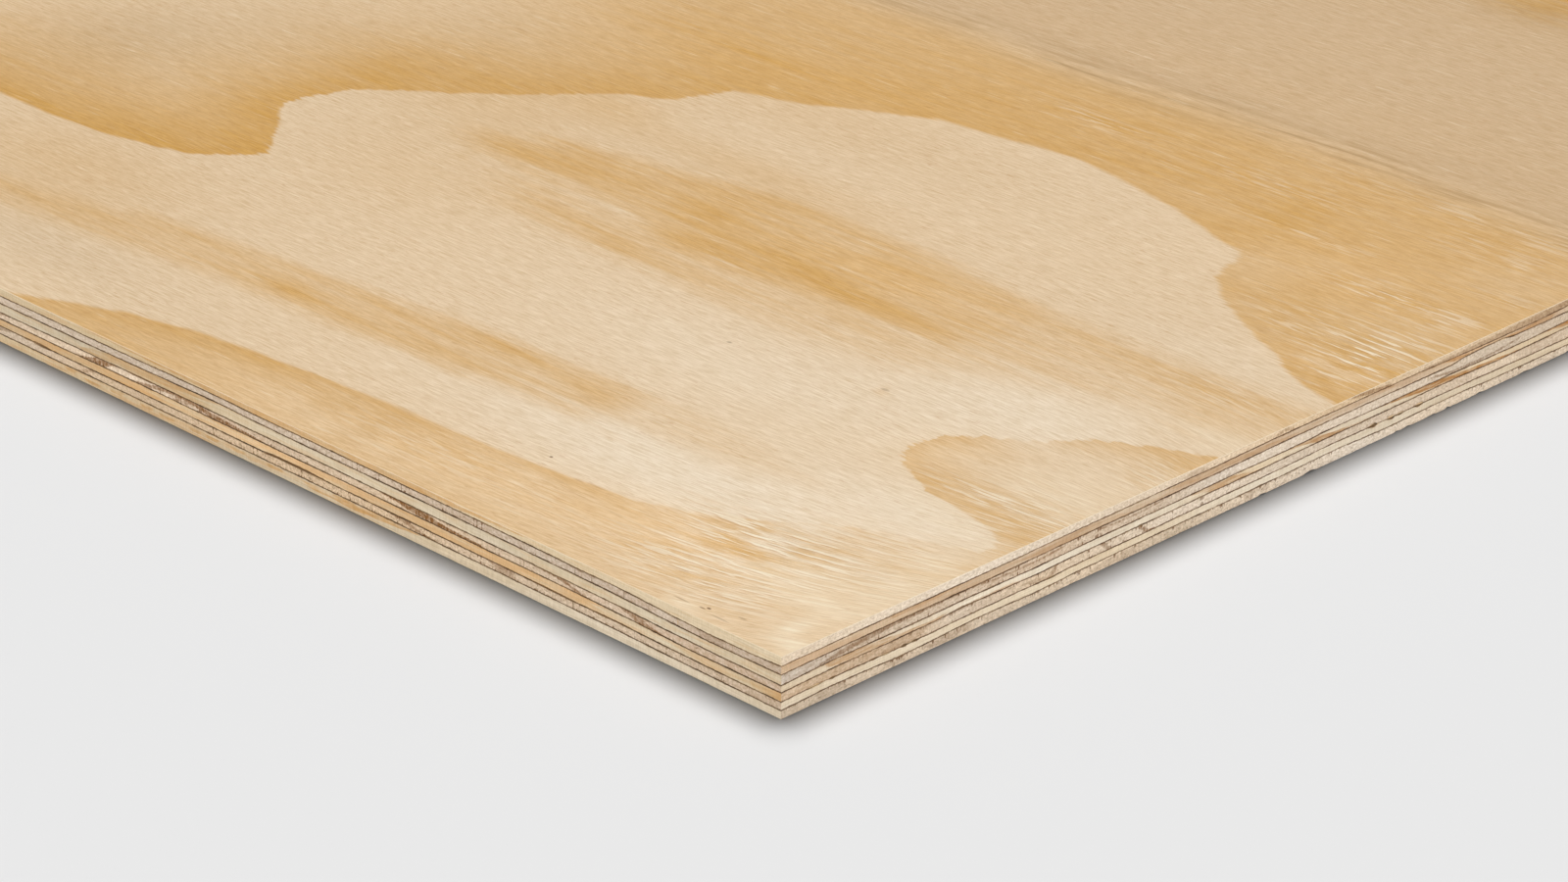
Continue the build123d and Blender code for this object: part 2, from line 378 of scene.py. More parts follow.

# How much lighter the wood is along each seen edge, partly its tone and partly painted light and shade
EDGE_TONE_AND_PAINTED_LIGHT = {
    (1, NEAR): ((0, 0), (215, -0.02), (236, -0.12), (334, -0.12)),
    (2, NEAR): (
        (14, -0.02), (42, 0.08), (70, 0.0), (125, -0.02), (153, 0.1), (190, 0.02), (264, -0.05),
        (334, 0.02)),
    (3, NEAR): (
        (0, -0.05), (42, 0.0), (97, -0.05), (150, 0.0), (215, -0.02), (236, -0.15), (270, -0.13),
        (334, -0.07)),
    (4, NEAR): (
        (0, 0.12), (70, 0.18), (90, 0.0), (153, 0.1), (181, -0.02), (209, 0.06), (264, 0.2), (334, 0.05)),
    (5, NEAR): (
        (0, -0.1), (42, 0.06), (150, 0.0), (181, 0.08), (209, 0.18), (240, 0.04), (292, -0.08),
        (334, -0.08)),
    (6, NEAR): ((0, 0), (153, 0.04), (209, 0.04), (264, -0.08), (292, 0.03), (334, 0)),
    (7, NEAR): ((0, 0.02), (70, 0.07), (97, 0), (153, 0.03), (181, 0.1), (209, 0.02), (334, 0)),
    (1, SHORT): ((0, 0), (70, 0.07), (97, 0), (181, 0), (236, -0.1), (270, -0.02), (334, -0.1)),
    (2, SHORT): ((0, 0.08), (42, 0.08), (70, 0.03), (236, 0.03), (292, 0.1), (334, 0.06)),
    (3, SHORT): (
        (0, 0), (42, 0), (97, 0.12), (153, 0), (181, 0.1), (209, 0.02), (264, 0), (292, -0.1),
        (334, -0.05)),
    (4, SHORT): (
        (0, 0.02), (42, 0.08), (84, 0.14), (125, 0.02), (236, 0.0), (264, -0.08), (292, 0), (334, -0.1)),
    (5, SHORT): (
        (0, 0.1), (42, 0), (70, 0.05), (125, 0.02), (153, 0.12), (209, -0.02), (264, 0.06), (334, 0.02)),
    (6, SHORT): (
        (0, 0.04), (97, 0.08), (125, 0), (153, 0.06), (209, 0.07), (236, 0), (292, -0.04), (334, 0)),
    (7, SHORT): (
        (14, -0.06), (42, 0.06), (90, 0), (125, 0.08), (153, -0.12), (181, 0.07), (236, 0.1), (334, 0.03)),
}

# Share of fine splits in end grain along each seen edge
SPLITS = {
    (2, NEAR): ((0, 0.1), (100, 0.4), (130, 0.5), (200, 0.5), (225, 0.1), (334, 0.1)),
    (4, NEAR): ((0, 0.1), (100, 0.3), (130, 0.3), (225, 0.4), (250, 0.5), (265, 0.1), (334, 0.1)),
    (6, NEAR): ((0, 0.25), (110, 0.6), (170, 0.8), (225, 0.7), (245, 0.1), (334, 0.1)),
    (1, SHORT): ((0, 0.05), (334, 0.1)),
    (3, SHORT): ((0, 0.3), (60, 0.5), (150, 0.4), (200, 0.1), (334, 0.15)),
    (5, SHORT): ((0, 0.15), (70, 0.4), (160, 0.4), (200, 0.1), (334, 0.2)),
    (7, SHORT): ((0, 0.4), (140, 0.6), (210, 0.7), (240, 0.3), (334, 0.5)),
}

# Outline of the pale figure on the face, as (run along the long edge, run along the short end)
PALE_FIGURE = (
    (900, 80), (465, 100), (440, 100), (415, 102), (395, 106), (380, 110), (370, 118), (362.5, 127.5),
    (368, 133), (374, 140), (382, 148), (390, 154), (394, 161), (393, 172), (388, 185), (380, 193),
    (371, 201), (364, 206), (357, 213.5), (348, 220), (344, 225), (335, 235), (326, 244), (321, 249),
    (312, 253), (306, 257), (306, 262), (302, 268), (300, 276), (276, 283), (260, 292), (245, 299),
    (235, 305), (205, 309), (178, 313), (155, 309), (130, 303.5), (110, 297), (100, 293), (90, 289.5),
    (87, 285), (86.5, 276), (83, 270), (75, 262), (67, 256.5), (54, 248), (47, 244.5), (35, 239),
    (27, 233.5), (17, 228), (8, 225.5), (0, 224), (-60, 210), (-60, 175), (0, 170), (5, 167.5), (14, 163),
    (24, 158), (31, 153), (36, 148), (41, 141.5), (46, 138), (54, 134), (61, 127), (64, 117), (62, 111),
    (57, 106), (49, 103), (42, 99), (28, 97), (18, 95.5), (11, 93), (6, 88), (3.5, 83), (6, 79), (13, 76),
    (24, 72), (40, 65.5), (52, 57.5), (60, 50.5), (75, 42), (90, 35.5), (125, 32), (160, 29.5), (210, 27),
    (260, 22), (290, 14.5), (318, 3), (400, -30), (900, -60),
)

# Ring phase drops by this much beyond the figure's line and rises by this much within it
BEYOND_FIGURE = 0.72
WITHIN_FIGURE = 0.22

# How far the amber fades beyond that line, as (run, run, reach, reach, length)
FADE_LENGTHS = (
    (60, 340, 260, 60, 260), (215, 8, 150, 22, 90), (30, 30, 60, 30, 34), (30, 130, 40, 30, 11),
    (420, 190, 60, 70, 60),
)

# Its fade where no length is placed near, how much that counts, and the fade within the figure
USUAL_FADE = 48.0
USUAL_FADE_WEIGHT = 0.35
INNER_FADE = 30.0

# Usual strength of the amber, and its changes as (run, run, reach, reach, change)
USUAL_AMBER = 0.78
AMBER_STRENGTHS = (
    (57, 118, 14, 12, -0.27), (46, 141, 14, 10, -0.42), (10, 80, 16, 10, -0.3), (48, 56, 20, 9, -0.36),
    (80, 37, 25, 8, -0.17), (130, 27, 40, 8, -0.2), (210, 18, 40, 10, -0.14), (200, 6, 50, 8, -0.12),
    (30, 70, 18, 9, -0.38), (120, 12, 40, 8, -0.08), (84, 282, 20, 16, -0.26), (60, 256, 20, 10, -0.15),
    (20, 242, 24, 8, -0.18), (15, 330, 20, 14, -0.22), (130, 310, 30, 8, -0.15), (398, 165, 14, 20, 0.08),
    (455, 102, 30, 8, 0.12), (402, 222, 22, 20, 0.18), (450, 215, 40, 25, 0.13), (478, 160, 30, 25, 0.17),
    (385, 118, 50, 34, 0.2), (10, 64, 16, 12, -0.08), (360, 270, 28, 18, -0.1), (470, 168, 36, 30, 0.07),
    (395, 205, 16, 22, 0.1), (20, 36, 80, 45, -0.44), (16, 134, 28, 30, -0.54), (150, 8, 140, 16, -0.3),
    (450, 190, 40, 60, -0.06), (350, 310, 60, 26, 0.04), (20, 352, 40, 30, 0.1), (60, 300, 40, 40, -0.06),
    (235, 24, 18, 4, 0.2), (270, 18, 24, 5, 0.12), (178, 10, 5, 16, 0.12), (197, 17, 7, 7, 0.1),
    (100, 32, 40, 3, 0.14), (50, 36, 14, 3, 0.24), (40, 54, 24, 3, 0.14), (30, 66, 26, 3, 0.14),
    (100, 325, 11, 26, 0.12),
)

# Warm wood within the figure, as (strength, softness of its boundary, (run, run) outline)
WARM_AREAS = (
    (0.4, 3.5, (
        (350, 60), (300, 54), (285, 52), (260, 53), (230, 55), (215, 57), (190, 57), (180, 60),
        (160, 61), (145, 63), (138, 67), (134, 76), (138, 86), (160, 86), (200, 84), (220, 83),
        (250, 80), (285, 76), (310, 72), (350, 68))),
    (0.36, 4.5, (
        (430, 44), (395, 42), (345, 46), (300, 50), (285, 58), (300, 66), (345, 62), (390, 58),
        (425, 53))),
    (0.13, 4, (
        (145, 64), (130, 67), (110, 68), (90, 68), (72, 76), (68, 83), (85, 84.5), (100, 86), (145, 87))),
    (0.42, 4.5, (
        (330, 190), (312, 198), (295, 205), (280, 210), (260, 213), (230, 216), (205, 220), (180, 221),
        (150, 220), (120, 217), (98, 213), (94, 200), (96, 186), (100, 175), (120, 173), (150, 171),
        (170, 168), (190, 165), (200, 167), (215, 166), (230, 168), (240, 175), (255, 178), (275, 180),
        (295, 180), (310, 179), (325, 182))),
    (0.22, 5.5, (
        (300, 180), (290, 162), (275, 152), (255, 149), (230, 149), (200, 149), (170, 147), (140, 147),
        (110, 150), (90, 158), (75, 168), (60, 176), (30, 186), (-10, 190), (-10, 213), (40, 213),
        (75, 213), (120, 215), (120, 174), (240, 170), (255, 180))),
)

# A run along the grain counts by this share where warm wood fades
ALONG_GRAIN = 0.25

# Deeper or paler spots in the warm wood, as (run, run, reach, reach, strength)
WARM_SPOTS = (
    (220, 216, 20, 5, 0.28), (280, 196, 30, 8, 0.2), (240, 203, 25, 8, 0.17), (250, 160, 35, 8, 0.22),
    (200, 158, 40, 7, 0.14), (150, 200, 30, 6, 0.18), (200, 190, 30, 10, 0.06), (90, 190, 24, 14, 0.08),
    (105, 76, 30, 7, 0.08), (200, 75, 30, 6, 0.08), (160, 532, 26, 10, 0.12), (312, 186, 14, 6, 0.1),
    (160, 72, 20, 6, -0.07), (160, 545, 30, 20, 0.5), (178, 183, 45, 9, 0.34), (150, 177, 32, 6, 0.2),
    (216, 172, 25, 5, 0.24), (225, 195, 15, 8, 0.26), (153, 206, 14, 3, 0.25), (290, 188, 25, 8, 0.14),
    (228, 155, 14, 4, 0.2), (40, 203, 34, 4, 0.2), (60, 209, 50, 4, 0.2), (15, 206, 20, 5, 0.14),
    (269, 61, 12, 4, 0.36), (185, 79, 18, 4, 0.22), (155, 77, 14, 4, 0.24), (205, 62, 22, 5, 0.1),
    (238, 68, 20, 5, 0.1), (330, 307, 60, 3, 0.14), (20, 183, 10, 14, 0.12), (96, 137.5, 2.5, 1.6, 0.5),
    (317, 173, 4, 3, 0.2),
)

# Raised fibres, which get a painted highlight on their crests and painted shade beside them, and wood
# rubbed white, as (run, run, reach, reach, strength)
RAISED_PATCHES = (
    (50, 32, 26, 19, 0.85), (32, 50, 28, 12, 0.6), (60, 46, 28, 7, 0.4), (36, 16, 18, 10, 0.4),
    (14, 68, 26, 9, 0.4), (60, 13, 26, 8, 0.4), (12, 92, 20, 8, 0.5), (22, 106, 30, 5, 0.8),
    (10, 115, 20, 9, 0.5), (4, 150, 8, 12, 0.6), (24, 205, 32, 8, 0.45), (12, 254, 17, 22, 1),
    (42, 262, 24, 12, 0.4), (32, 295, 32, 7, 0.7), (90, 316, 32, 3, 0.45), (195, 342, 24, 5, 0.5),
    (120, 340, 34, 7, 0.35), (8, 318, 14, 3, 0.7), (150, 18, 60, 10, 0.3), (60, 363, 70, 6, 0.35),
    (30, 345, 34, 10, 0.3), (130, 62, 30, 6, 0.25), (195, 170, 8, 3, 0.5),
)
WORN_PATCHES = (
    (2, 6, 4, 4, 1), (9, 13, 3, 8, 0.8), (15, 28, 13, 5, 0.6), (22, 40, 16, 6, 0.35),
    (38, 2.5, 7, 2.2, 0.8), (12, 120, 20, 14, 0.3), (38, 30, 10, 4, 0.4), (30, 90, 20, 10, 0.2),
    (6, 60, 12, 14, 0.3), (8, 182, 14, 6, 0.3), (18, 270, 24, 20, 0.2), (2, 40, 8, 20, 0.25),
)

# The largest dark specks, in the same way
DARK_SPECKS = (
    (32.2, 5.6, 0.8, 0.45, 0.9), (33.6, 4.6, 1.2, 0.35, 0.6), (41, 4.2, 3, 0.35, 0.4),
    (26, 3.6, 3.5, 0.35, 0.35), (22, 7.8, 1.6, 0.5, 0.3), (151, 129, 1, 0.6, 0.4),
    (128.8, 38.5, 0.6, 0.5, 0.8), (96, 137.5, 1.6, 0.8, 0.3),
)

# How warm the early wood is, from 0 for white wood, and its changes as (run, run, reach, reach, change)
USUAL_WARMTH = 0.3
BASE_WARMTH = (
    (95, 58, 90, 24, -0.3), (30, 85, 40, 14, -0.2), (55, 155, 50, 26, -0.26), (130, 118, 80, 26, -0.18),
    (350, 215, 50, 35, 0.2), (315, 238, 20, 12, 0.15), (240, 228, 60, 12, 0.2), (270, 280, 80, 25, 0.12),
    (400, 75, 60, 30, 0.2), (320, 150, 50, 30, 0.1), (40, 225, 40, 14, -0.08),
)

# How far the fibres bend aside at the short end, over the run along it, and how that fades inwards
FIBRE_RISE = (
    (0, 25), (52, 25), (75, 20), (95, 12), (112, 5), (130, 0), (150, -6), (205, -7), (235, -1), (300, 0),
)
FIBRE_REACH = 45

# Lighter or darker stretches of the face, partly its tone and partly painted light that is brighter towards
# the near corner and darker farther in, as (run, run, reach, reach, change)
FACE_TONE_AND_PAINTED_LIGHT = (
    (178, 12, 5, 16, -0.05), (198, 14, 6, 10, -0.04), (30, 25, 26, 16, 0.02), (30, 66, 40, 12, 0.03),
    (70, 32, 28, 14, 0.1), (125, 18, 50, 14, 0.07), (205, 8, 40, 9, 0.05), (57, 118, 14, 12, 0.05),
    (20, 242, 24, 9, 0.06), (62, 300, 40, 22, 0.045), (290, 300, 60, 26, 0.03), (475, 165, 30, 30, -0.05),
    (400, 260, 30, 24, -0.045), (350, 30, 40, 14, -0.06), (150, 198, 34, 9, 0.05),
    (160, 532, 30, 14, -0.05), (200, 366, 220, 5, -0.03), (0, 0, 150, 110, 0.03), (35, 22, 50, 24, 0.02),
    (350, 200, 80, 80, -0.03), (400, 70, 80, 50, -0.035), (485, 160, 50, 50, -0.06),
    (445, 215, 40, 30, -0.04), (250, 225, 50, 12, -0.02), (60, 230, 60, 30, -0.02),
    (230, 280, 90, 24, -0.03), (345, 330, 70, 20, -0.02), (300, 25, 60, 20, -0.02),
    (200, 405, 120, 14, 0.02), (220, 385, 120, 8, -0.02), (200, 450, 80, 30, 0.015),
    (160, 535, 30, 16, -0.06), (80, 398, 40, 6, -0.02),
)

# The pinkish stretch lies between these runs along the short end, a little farther in along the sheet
PINK_BEGINS = 356.0
PINK_FULL = 384.0
PINK_RISE = 6.0

# It goes on beyond the photograph and fades this much more slowly than the figure
PINK_FADE = 0.3

# Middle and reach of the grey-brown streaks beside it
STREAKS_AT = 370.0
STREAKS_REACH = 11.0

# The photograph shows the face up to about this run along the long edge
SEEN_FACE_END = 560.0


def srgb(red, green, blue):
    """A colour given in 0-255 display values, as linear values."""
    out = []
    for value in (red, green, blue):
        v = value / 255.0
        out.append(v / 12.92 if v <= 0.04045 else ((v + 0.055) / 1.055) ** 2.4)
    return tuple(out)


def colour_property(name, description, red, green, blue):
    return bpy.props.FloatVectorProperty(
        name=name, description=description, subtype="COLOR", size=3, min=0.0, max=1.0,
        default=srgb(red, green, blue))


def length_property(name, description, default):
    return bpy.props.FloatProperty(
        name=name, description=description, default=default, min=0.0, max=0.01,
        unit="LENGTH", subtype="DISTANCE", precision=5)


class PlywoodSizes(bpy.types.PropertyGroup):
    glue_thickness: length_property("Glue Line", "Thickness of a glue line where it is closed", 0.0002)
    glue_recess: length_property("Glue Recess", "How far a glue line stands back from the edge", 0.00012)
    saw_roughness: length_property("Saw Roughness", "How unevenly the saw left the veneers' edges", 0.00007)
    arris_wear: length_property("Arris Wear", "How far the face's arris is worn", 0.00012)
    splinter_depth: length_property("Splinter Depth", "How deep the back's arris is torn", 0.00045)
    joint_gap: length_property("Joint Gap", "Gap between two sheets of a crossband", 0.00022)


class PlywoodColours(bpy.types.PropertyGroup):
    pale: colour_property("Pale Face Wood", "Palest early wood of the face", 232, 213, 186)
    amber: colour_property("Amber Face Wood", "Late wood of the face", 206, 156, 75)
    pinkish: colour_property("Pinkish Face Wood", "Early wood in pinkish stretches", 206, 176, 138)
    # Worn wood, and also the colour of the painted highlights on raised fibres' crests and along the face's
    # arris
    worn: colour_property("Worn Fibres and Painted Highlights", "Raised, bright fibres", 250, 236, 208)
    # The streak colour also paints the shade in the troughs beside raised fibres
    streak_and_trough_shade: colour_property("Streaks", "Thin dark streaks in the face", 184, 130, 74)
    dusky: colour_property("Dusky Streaks", "Grey-brown streaks beside the pinkish wood", 172, 138, 92)
    side_light: colour_property("Core Grain, Light", "Palest side grain of long veneers", 224, 206, 178)
    side_mid: colour_property("Core Grain", "Usual side grain of long veneers", 213, 193, 160)
    side_deep: colour_property("Core Grain, Deep", "Warmest side grain of long veneers", 211, 172, 124)
    side_dense: colour_property("Core Late Wood", "Late wood in long veneers", 198, 148, 82)
    cross_light: colour_property("Crossband Grain, Light", "Palest side grain of crossbands", 224, 207, 180)
    cross_mid: colour_property("Crossband Grain", "Usual side grain of crossbands", 214, 193, 163)
    cross_deep: colour_property("Crossband Grain, Deep", "Brownest side grain of crossbands", 196, 164, 130)
    cross_dense: colour_property("Crossband Late Wood", "Late wood in crossbands", 176, 128, 76)
    end_light: colour_property("End Grain, Light", "Palest sawn end grain", 228, 207, 180)
    end_mid: colour_property("End Grain", "Usual sawn end grain", 208, 186, 160)
    end_deep: colour_property("End Grain, Deep", "Darkest sawn end grain", 185, 155, 124)
    end_dense: colour_property("End Grain, Late Wood", "Late wood in sawn end grain", 126, 86, 46)
    resin: colour_property("Glue", "Cured dark resin", 50, 29, 9)
    stain: colour_property("Resin Stain", "Wood soaked with resin beside a glue line", 106, 66, 24)
    floor: colour_property("Floor", "Studio floor", 232, 232, 232)


# Seeded fields and outlines


class Field:
    """Smooth random values over a plane, from a lattice of given spacing."""

    def __init__(self, seed, across, up):
        self.lattice = np.random.default_rng(SEED * 1000 + seed).uniform(-1.0, 1.0, (67, 61))
        self.across = across
        self.up = up

    def __call__(self, x, y=0.0):
        u = np.asarray(x, float) / self.across + 500.0
        v = np.asarray(y, float) / self.up + 500.0
        u, v = np.broadcast_arrays(u, v)
        i = np.floor(u).astype(int)
        j = np.floor(v).astype(int)
        a = u - i
        b = v - j
        a = a * a * (3 - 2 * a)
        b = b * b * (3 - 2 * b)
        g = self.lattice
        rows, cols = g.shape
        low = g[i % rows, j % cols] * (1 - a) + g[(i + 1) % rows, j % cols] * a
        high = g[i % rows, (j + 1) % cols] * (1 - a) + g[(i + 1) % rows, (j + 1) % cols] * a
        return low * (1 - b) + high * b


def curve(points, at):
    runs = [p[0] for p in points]
    values = [p[1] for p in points]
    return np.interp(at, runs, values)


def smooth(low, high, value):
    t = np.clip((np.asarray(value, float) - low) / (high - low), 0.0, 1.0)
    return t * t * (3 - 2 * t)


def patches(spots, x, y):
    """Sum of soft oval patches, each as (x, y, reach in x, reach in y, strength)."""
    total = np.zeros(np.broadcast(x, y).shape)
    for centre_x, centre_y, reach_x, reach_y, strength in spots:
        total += strength * np.exp(-((x - centre_x) / reach_x) ** 2 - ((y - centre_y) / reach_y) ** 2)
    return total


def depth_in_outline(x, y, outline):
    """Signed distance to an outline, above zero inside it."""
    corners = np.asarray(outline, float)
    nearest = np.full(x.shape, np.inf)
    inside = np.zeros(x.shape, bool)
    for (ax, ay), (bx, by) in zip(corners, np.roll(corners, -1, axis=0)):
        ex, ey = bx - ax, by - ay
        t = np.clip(((x - ax) * ex + (y - ay) * ey) / (ex * ex + ey * ey), 0.0, 1.0)
        nearest = np.minimum(nearest, np.hypot(x - ax - t * ex, y - ay - t * ey))
        if ay != by:
            crosses = (ay > y) != (by > y)
            inside ^= crosses & (x < ax + ex * (y - ay) / ey)
    return np.where(inside, nearest, -nearest)


def waves(kinds, number, run, side=0, spread=0.0):
    return sum(height * Field(seed + number, length, EDGE_ROW)(run, side * spread)
               for seed, length, height in kinds)


# Heights of the layers


def side_runs(side, x, y):
    """Distance along a side from its end nearest the photographed corner, for centred x and y."""
    if side in (NEAR, FAR):
        return LENGTH / 2 - x
    return y + WIDTH / 2


def side_length(side):
    return LENGTH if side in (NEAR, FAR) else WIDTH


def shows_end_grain(ply, side):
    """True on the short ends of the veneers along the sheet, and on the long edges of the others."""
    return (ply % 2 == 1) == (side in (SHORT, LEFT))


def beyond_seen(run):
    return smooth(SEEN_RUN, SEEN_RUN + SEEN_FADE, run)


def seen_then_free(seen, free, run):
    """Values placed in the seen stretch, and free ones beyond it."""
    share = beyond_seen(run)
    return seen * (1 - share) + free * share


def glue_height(line, side, run):
    """Height of a glue line's middle where it shows on a side."""
    level = GLUE_LEVELS[line - 1]
    wander = waves(GLUE_WANDER, line, run, side, 50.0)
    end = smooth(0.0, END_SETTLE, side_length(side) - run)
    if side not in GLUE_ON_EDGES:
        ends = np.minimum(run, side_length(side) - run)
        return level + wander * smooth(0.0, END_SETTLE, ends)
    seen = curve(GLUE_ON_EDGES[side][line - 1], run)
    tremor = waves(GLUE_TREMOR, line, run, side, 50.0) * smooth(0.0, CORNER_SETTLE, run)
    out = seen_then_free(seen + tremor, level + wander, run)
    return out * end + level * (1 - end)


def glue_half(line, side, run, half):
    """Half the height of a glue line, with its open places."""
    out = half * (1.0 + waves(GLUE_SWELL, line, run, side, 31.0))
    if side in GLUE_WIDTHS:
        out = out * (1 + (GLUE_WIDTHS[side][line - 1] - 1) * (1 - beyond_seen(run)))
    for number, on_side, start, end, opened in GLUE_GAPS:
        if number == line and on_side == side:
            share = smooth(start - 0.8, start + 0.8, run) * (1 - smooth(end - 0.8, end + 0.8, run))
            out = out + (opened - out) * share
    return out


def gap_share(line, side, run):
    out = np.zeros(np.shape(run))
    for number, on_side, start, end, opened in GLUE_GAPS:
        if number == line and on_side == side and opened > DEEP_GAP:
            begun = smooth(start - 1.0, start + 0.5, run)
            out = np.maximum(out, begun * (1 - smooth(end - 0.5, end + 1.0, run)))
    return out


# The walk around a layer


def cell_lines(total, zone):
    corner = np.arange(0.0, CORNER_ZONE, CORNER_CELL)
    near = np.arange(CORNER_ZONE, zone + 0.5, FINE_CELL)
    far = np.linspace(zone, total, int(round((total - zone) / PLAIN_CELL)) + 1)
    return np.concatenate([corner, near, far[1:]])


LINES_X = cell_lines(LENGTH, FACE_ZONE_X)
LINES_Y = cell_lines(WIDTH, FACE_ZONE_Y)


def columns_between(lines, seen, start, end):
    """Runs of the columns on one side, at each cell line and between them."""
    out = [start]
    for low, high in zip(lines[:-1], lines[1:]):
        if seen and high <= SEEN_CELLS_END:
            parts = int(math.ceil((high - low) / SEEN_COLUMN))
        elif high - low < PLAIN_CELL * 0.6:
            parts = 1
        else:
            parts = COLUMNS_IN_PLAIN_CELL
        for part in range(parts + 1):
            value = low + (high - low) * part / parts
            after_last = value > out[-1] + NARROWEST_COLUMN
            if after_last and start + NARROWEST_COLUMN < value < end - NARROWEST_COLUMN:
                out.append(value)
    out.append(end)
    return np.array(out)


class Walk:
    """Columns around a layer or a sheet of it, counter-clockwise from its corner at +X and -Y."""

    def __init__(self, run_start=0.0, run_end=LENGTH):
        self.outer_short = run_start == 0.0
        self.outer_left = abs(run_end - LENGTH) < 0.01
        y_high = WIDTH / 2
        short_y = columns_between(LINES_Y, self.outer_short, 0.0, WIDTH) - y_high
        left_y = (columns_between(LINES_Y, False, 0.0, WIDTH) - y_high)[::-1]
        far_x = LENGTH / 2 - columns_between(LINES_X, False, run_start, run_end)
        near_x = LENGTH / 2 - columns_between(LINES_X, True, run_start, run_end)[::-1]
        legs = (
            (np.full(short_y.shape, far_x[0]), short_y, SHORT),
            (far_x, np.full(far_x.shape, y_high), FAR),
            (np.full(left_y.shape, far_x[-1]), left_y, LEFT),
            (near_x, np.full(near_x.shape, -y_high), NEAR),
        )
        self.x = np.concatenate([x[:-1] for x, _, _ in legs])
        self.y = np.concatenate([y[:-1] for _, y, _ in legs])
        self.side = np.concatenate([np.full(len(x) - 1, side) for x, _, side in legs])
        self.count = len(self.x)
        self.corners = [int(start) for start in np.cumsum([0] + [len(x) - 1 for x, _, _ in legs[:-1]])]
        out = np.array([(1.0, 0.0), (0.0, 1.0), (-1.0, 0.0), (0.0, -1.0)])
        before = out[np.roll(self.side, 1)]
        after = out[self.side]
        self.normal = np.where((self.side == np.roll(self.side, 1))[:, None], after, before + after)
        step = np.hypot(np.diff(self.x, append=self.x[0]), np.diff(self.y, append=self.y[0]))
        self.length = np.concatenate([[0.0], np.cumsum(step)])

    def side_is_outer(self, side):
        return {SHORT: self.outer_short, LEFT: self.outer_left}.get(side, True)

    def per_column(self, function):
        """A value for each column, from a function of a side and runs along it. Along a joint it runs
        from the near edge's value to the far edge's."""
        out = np.zeros(self.count)
        for side in range(4):
            chosen = self.side == side
            x, y = self.x[chosen], self.y[chosen]
            if self.side_is_outer(side):
                out[chosen] = function(side, side_runs(side, x, y))
            else:
                near = function(NEAR, side_runs(NEAR, x, y))
                far = function(FAR, side_runs(FAR, x, y))
                out[chosen] = near + (far - near) * (y + WIDTH / 2) / WIDTH
        return out


# Bodies


class Body:
    """Vertices, faces and face-corner values of one piece, gathered before its mesh is made."""

    def __init__(self):
        self.points = []
        self.faces = []
        self.slots = []
        self.values = {}
        self.maps = []
        self.total = 0

    def add_points(self, points):
        start = self.total
        self.points.append(np.asarray(points, float))
        self.total += len(points)
        return start

    def add_faces(self, faces, slot, values, maps):
        """Faces of one kind, with values and map places in corner order."""
        self.faces.append(faces)
        self.slots.append((slot, len(faces)))
        self.maps.append(maps)
        for name, given in values.items():
            self.values.setdefault(name, []).append((len(self.maps) - 1, given))

    def make(self, name, materials):
        """The piece as an object in metres, with its slots, values and baking map."""
        mesh = bpy.data.meshes.new(name)
        points = np.concatenate(self.points) * MM
        faces = [face for group in self.faces for face in group]
        mesh.from_pydata(points.tolist(), [], faces)
        for material in materials:
            mesh.materials.append(material)
        slots = np.concatenate([np.full(count, slot) for slot, count in self.slots])
        mesh.polygons.foreach_set("material_index", slots.astype(np.int32))
        sizes = [len(m) for m in self.maps]
        starts = np.concatenate([[0], np.cumsum(sizes)]).astype(int)
        total = starts[-1]
        for attribute, groups in self.values.items():
            data = np.zeros((total, 3), np.float32)
            for group, given in groups:
                data[starts[group]:starts[group + 1]] = given
            made = mesh.attributes.new(attribute, "FLOAT_VECTOR", "CORNER")
            made.data.foreach_set("vector", data.ravel())
        layer = mesh.uv_layers.new(name="OFBake")
        layer.data.foreach_set("uv", np.concatenate(self.maps).astype(np.float32).ravel())
        mesh.validate()
        mesh.update()
        piece = bpy.data.objects.new(name, mesh)
        bpy.context.collection.objects.link(piece)
        return piece


def grid_quads(start, columns, rows, closed):
    """Quads between neighbouring columns and rows; a vertex is start + column * (rows + 1) + row."""
    width = columns if closed else columns - 1
    j = np.repeat(np.arange(width), rows)
    k = np.tile(np.arange(rows), width)
    j1 = (j + 1) % columns
    here, after = j * (rows + 1) + k, j1 * (rows + 1) + k
    quads = np.stack([here, after, after + 1, here + 1], 1)
    return quads + start, j, k


def strip_map(walk, j, k, heights, box):
    """Map places of the edge strips: the walk is cut into lengths, stacked in rows within a box."""
    left, bottom, right, top = box
    total = walk.length[-1]
    thick = max(float(np.max(heights[:, -1] - heights[:, 0])), 0.05)
    ratio = (right - left) / (top - bottom)
    count = max(1, int(math.sqrt(total / (thick * 1.12 * ratio))))
    row_height = (top - bottom) / count
    length = total / count * 1.0005
    middles = (walk.length[j] + walk.length[j + 1]) / 2
    line = np.clip(np.floor(middles / length).astype(int), 0, count - 1)
    out = np.zeros((len(j), 4, 2))
    for corner, (dj, dk) in enumerate(((0, 0), (1, 0), (1, 1), (0, 1))):
        along = (walk.length[j + dj] - line * length) / length
        column = (j + dj) % walk.count
        up = (heights[column, k + dk] - heights[column, 0]) / (heights[column, -1] - heights[column, 0])
        out[:, corner, 0] = left + (right - left) * (0.03 + 0.94 * np.clip(along, -0.03, 1.03))
        out[:, corner, 1] = bottom + row_height * (line + 0.06 + 0.88 * up)
    return out.reshape(-1, 2)


def cap_map(points, box):
    left, bottom, right, top = box
    u = (points[:, 0] + LENGTH / 2) / LENGTH
    v = (points[:, 1] + WIDTH / 2) / WIDTH
    across = left + (right - left) * (0.01 + 0.98 * u)
    up = bottom + (top - bottom) * (0.01 + 0.98 * v)
    return np.stack([across, up], 1)


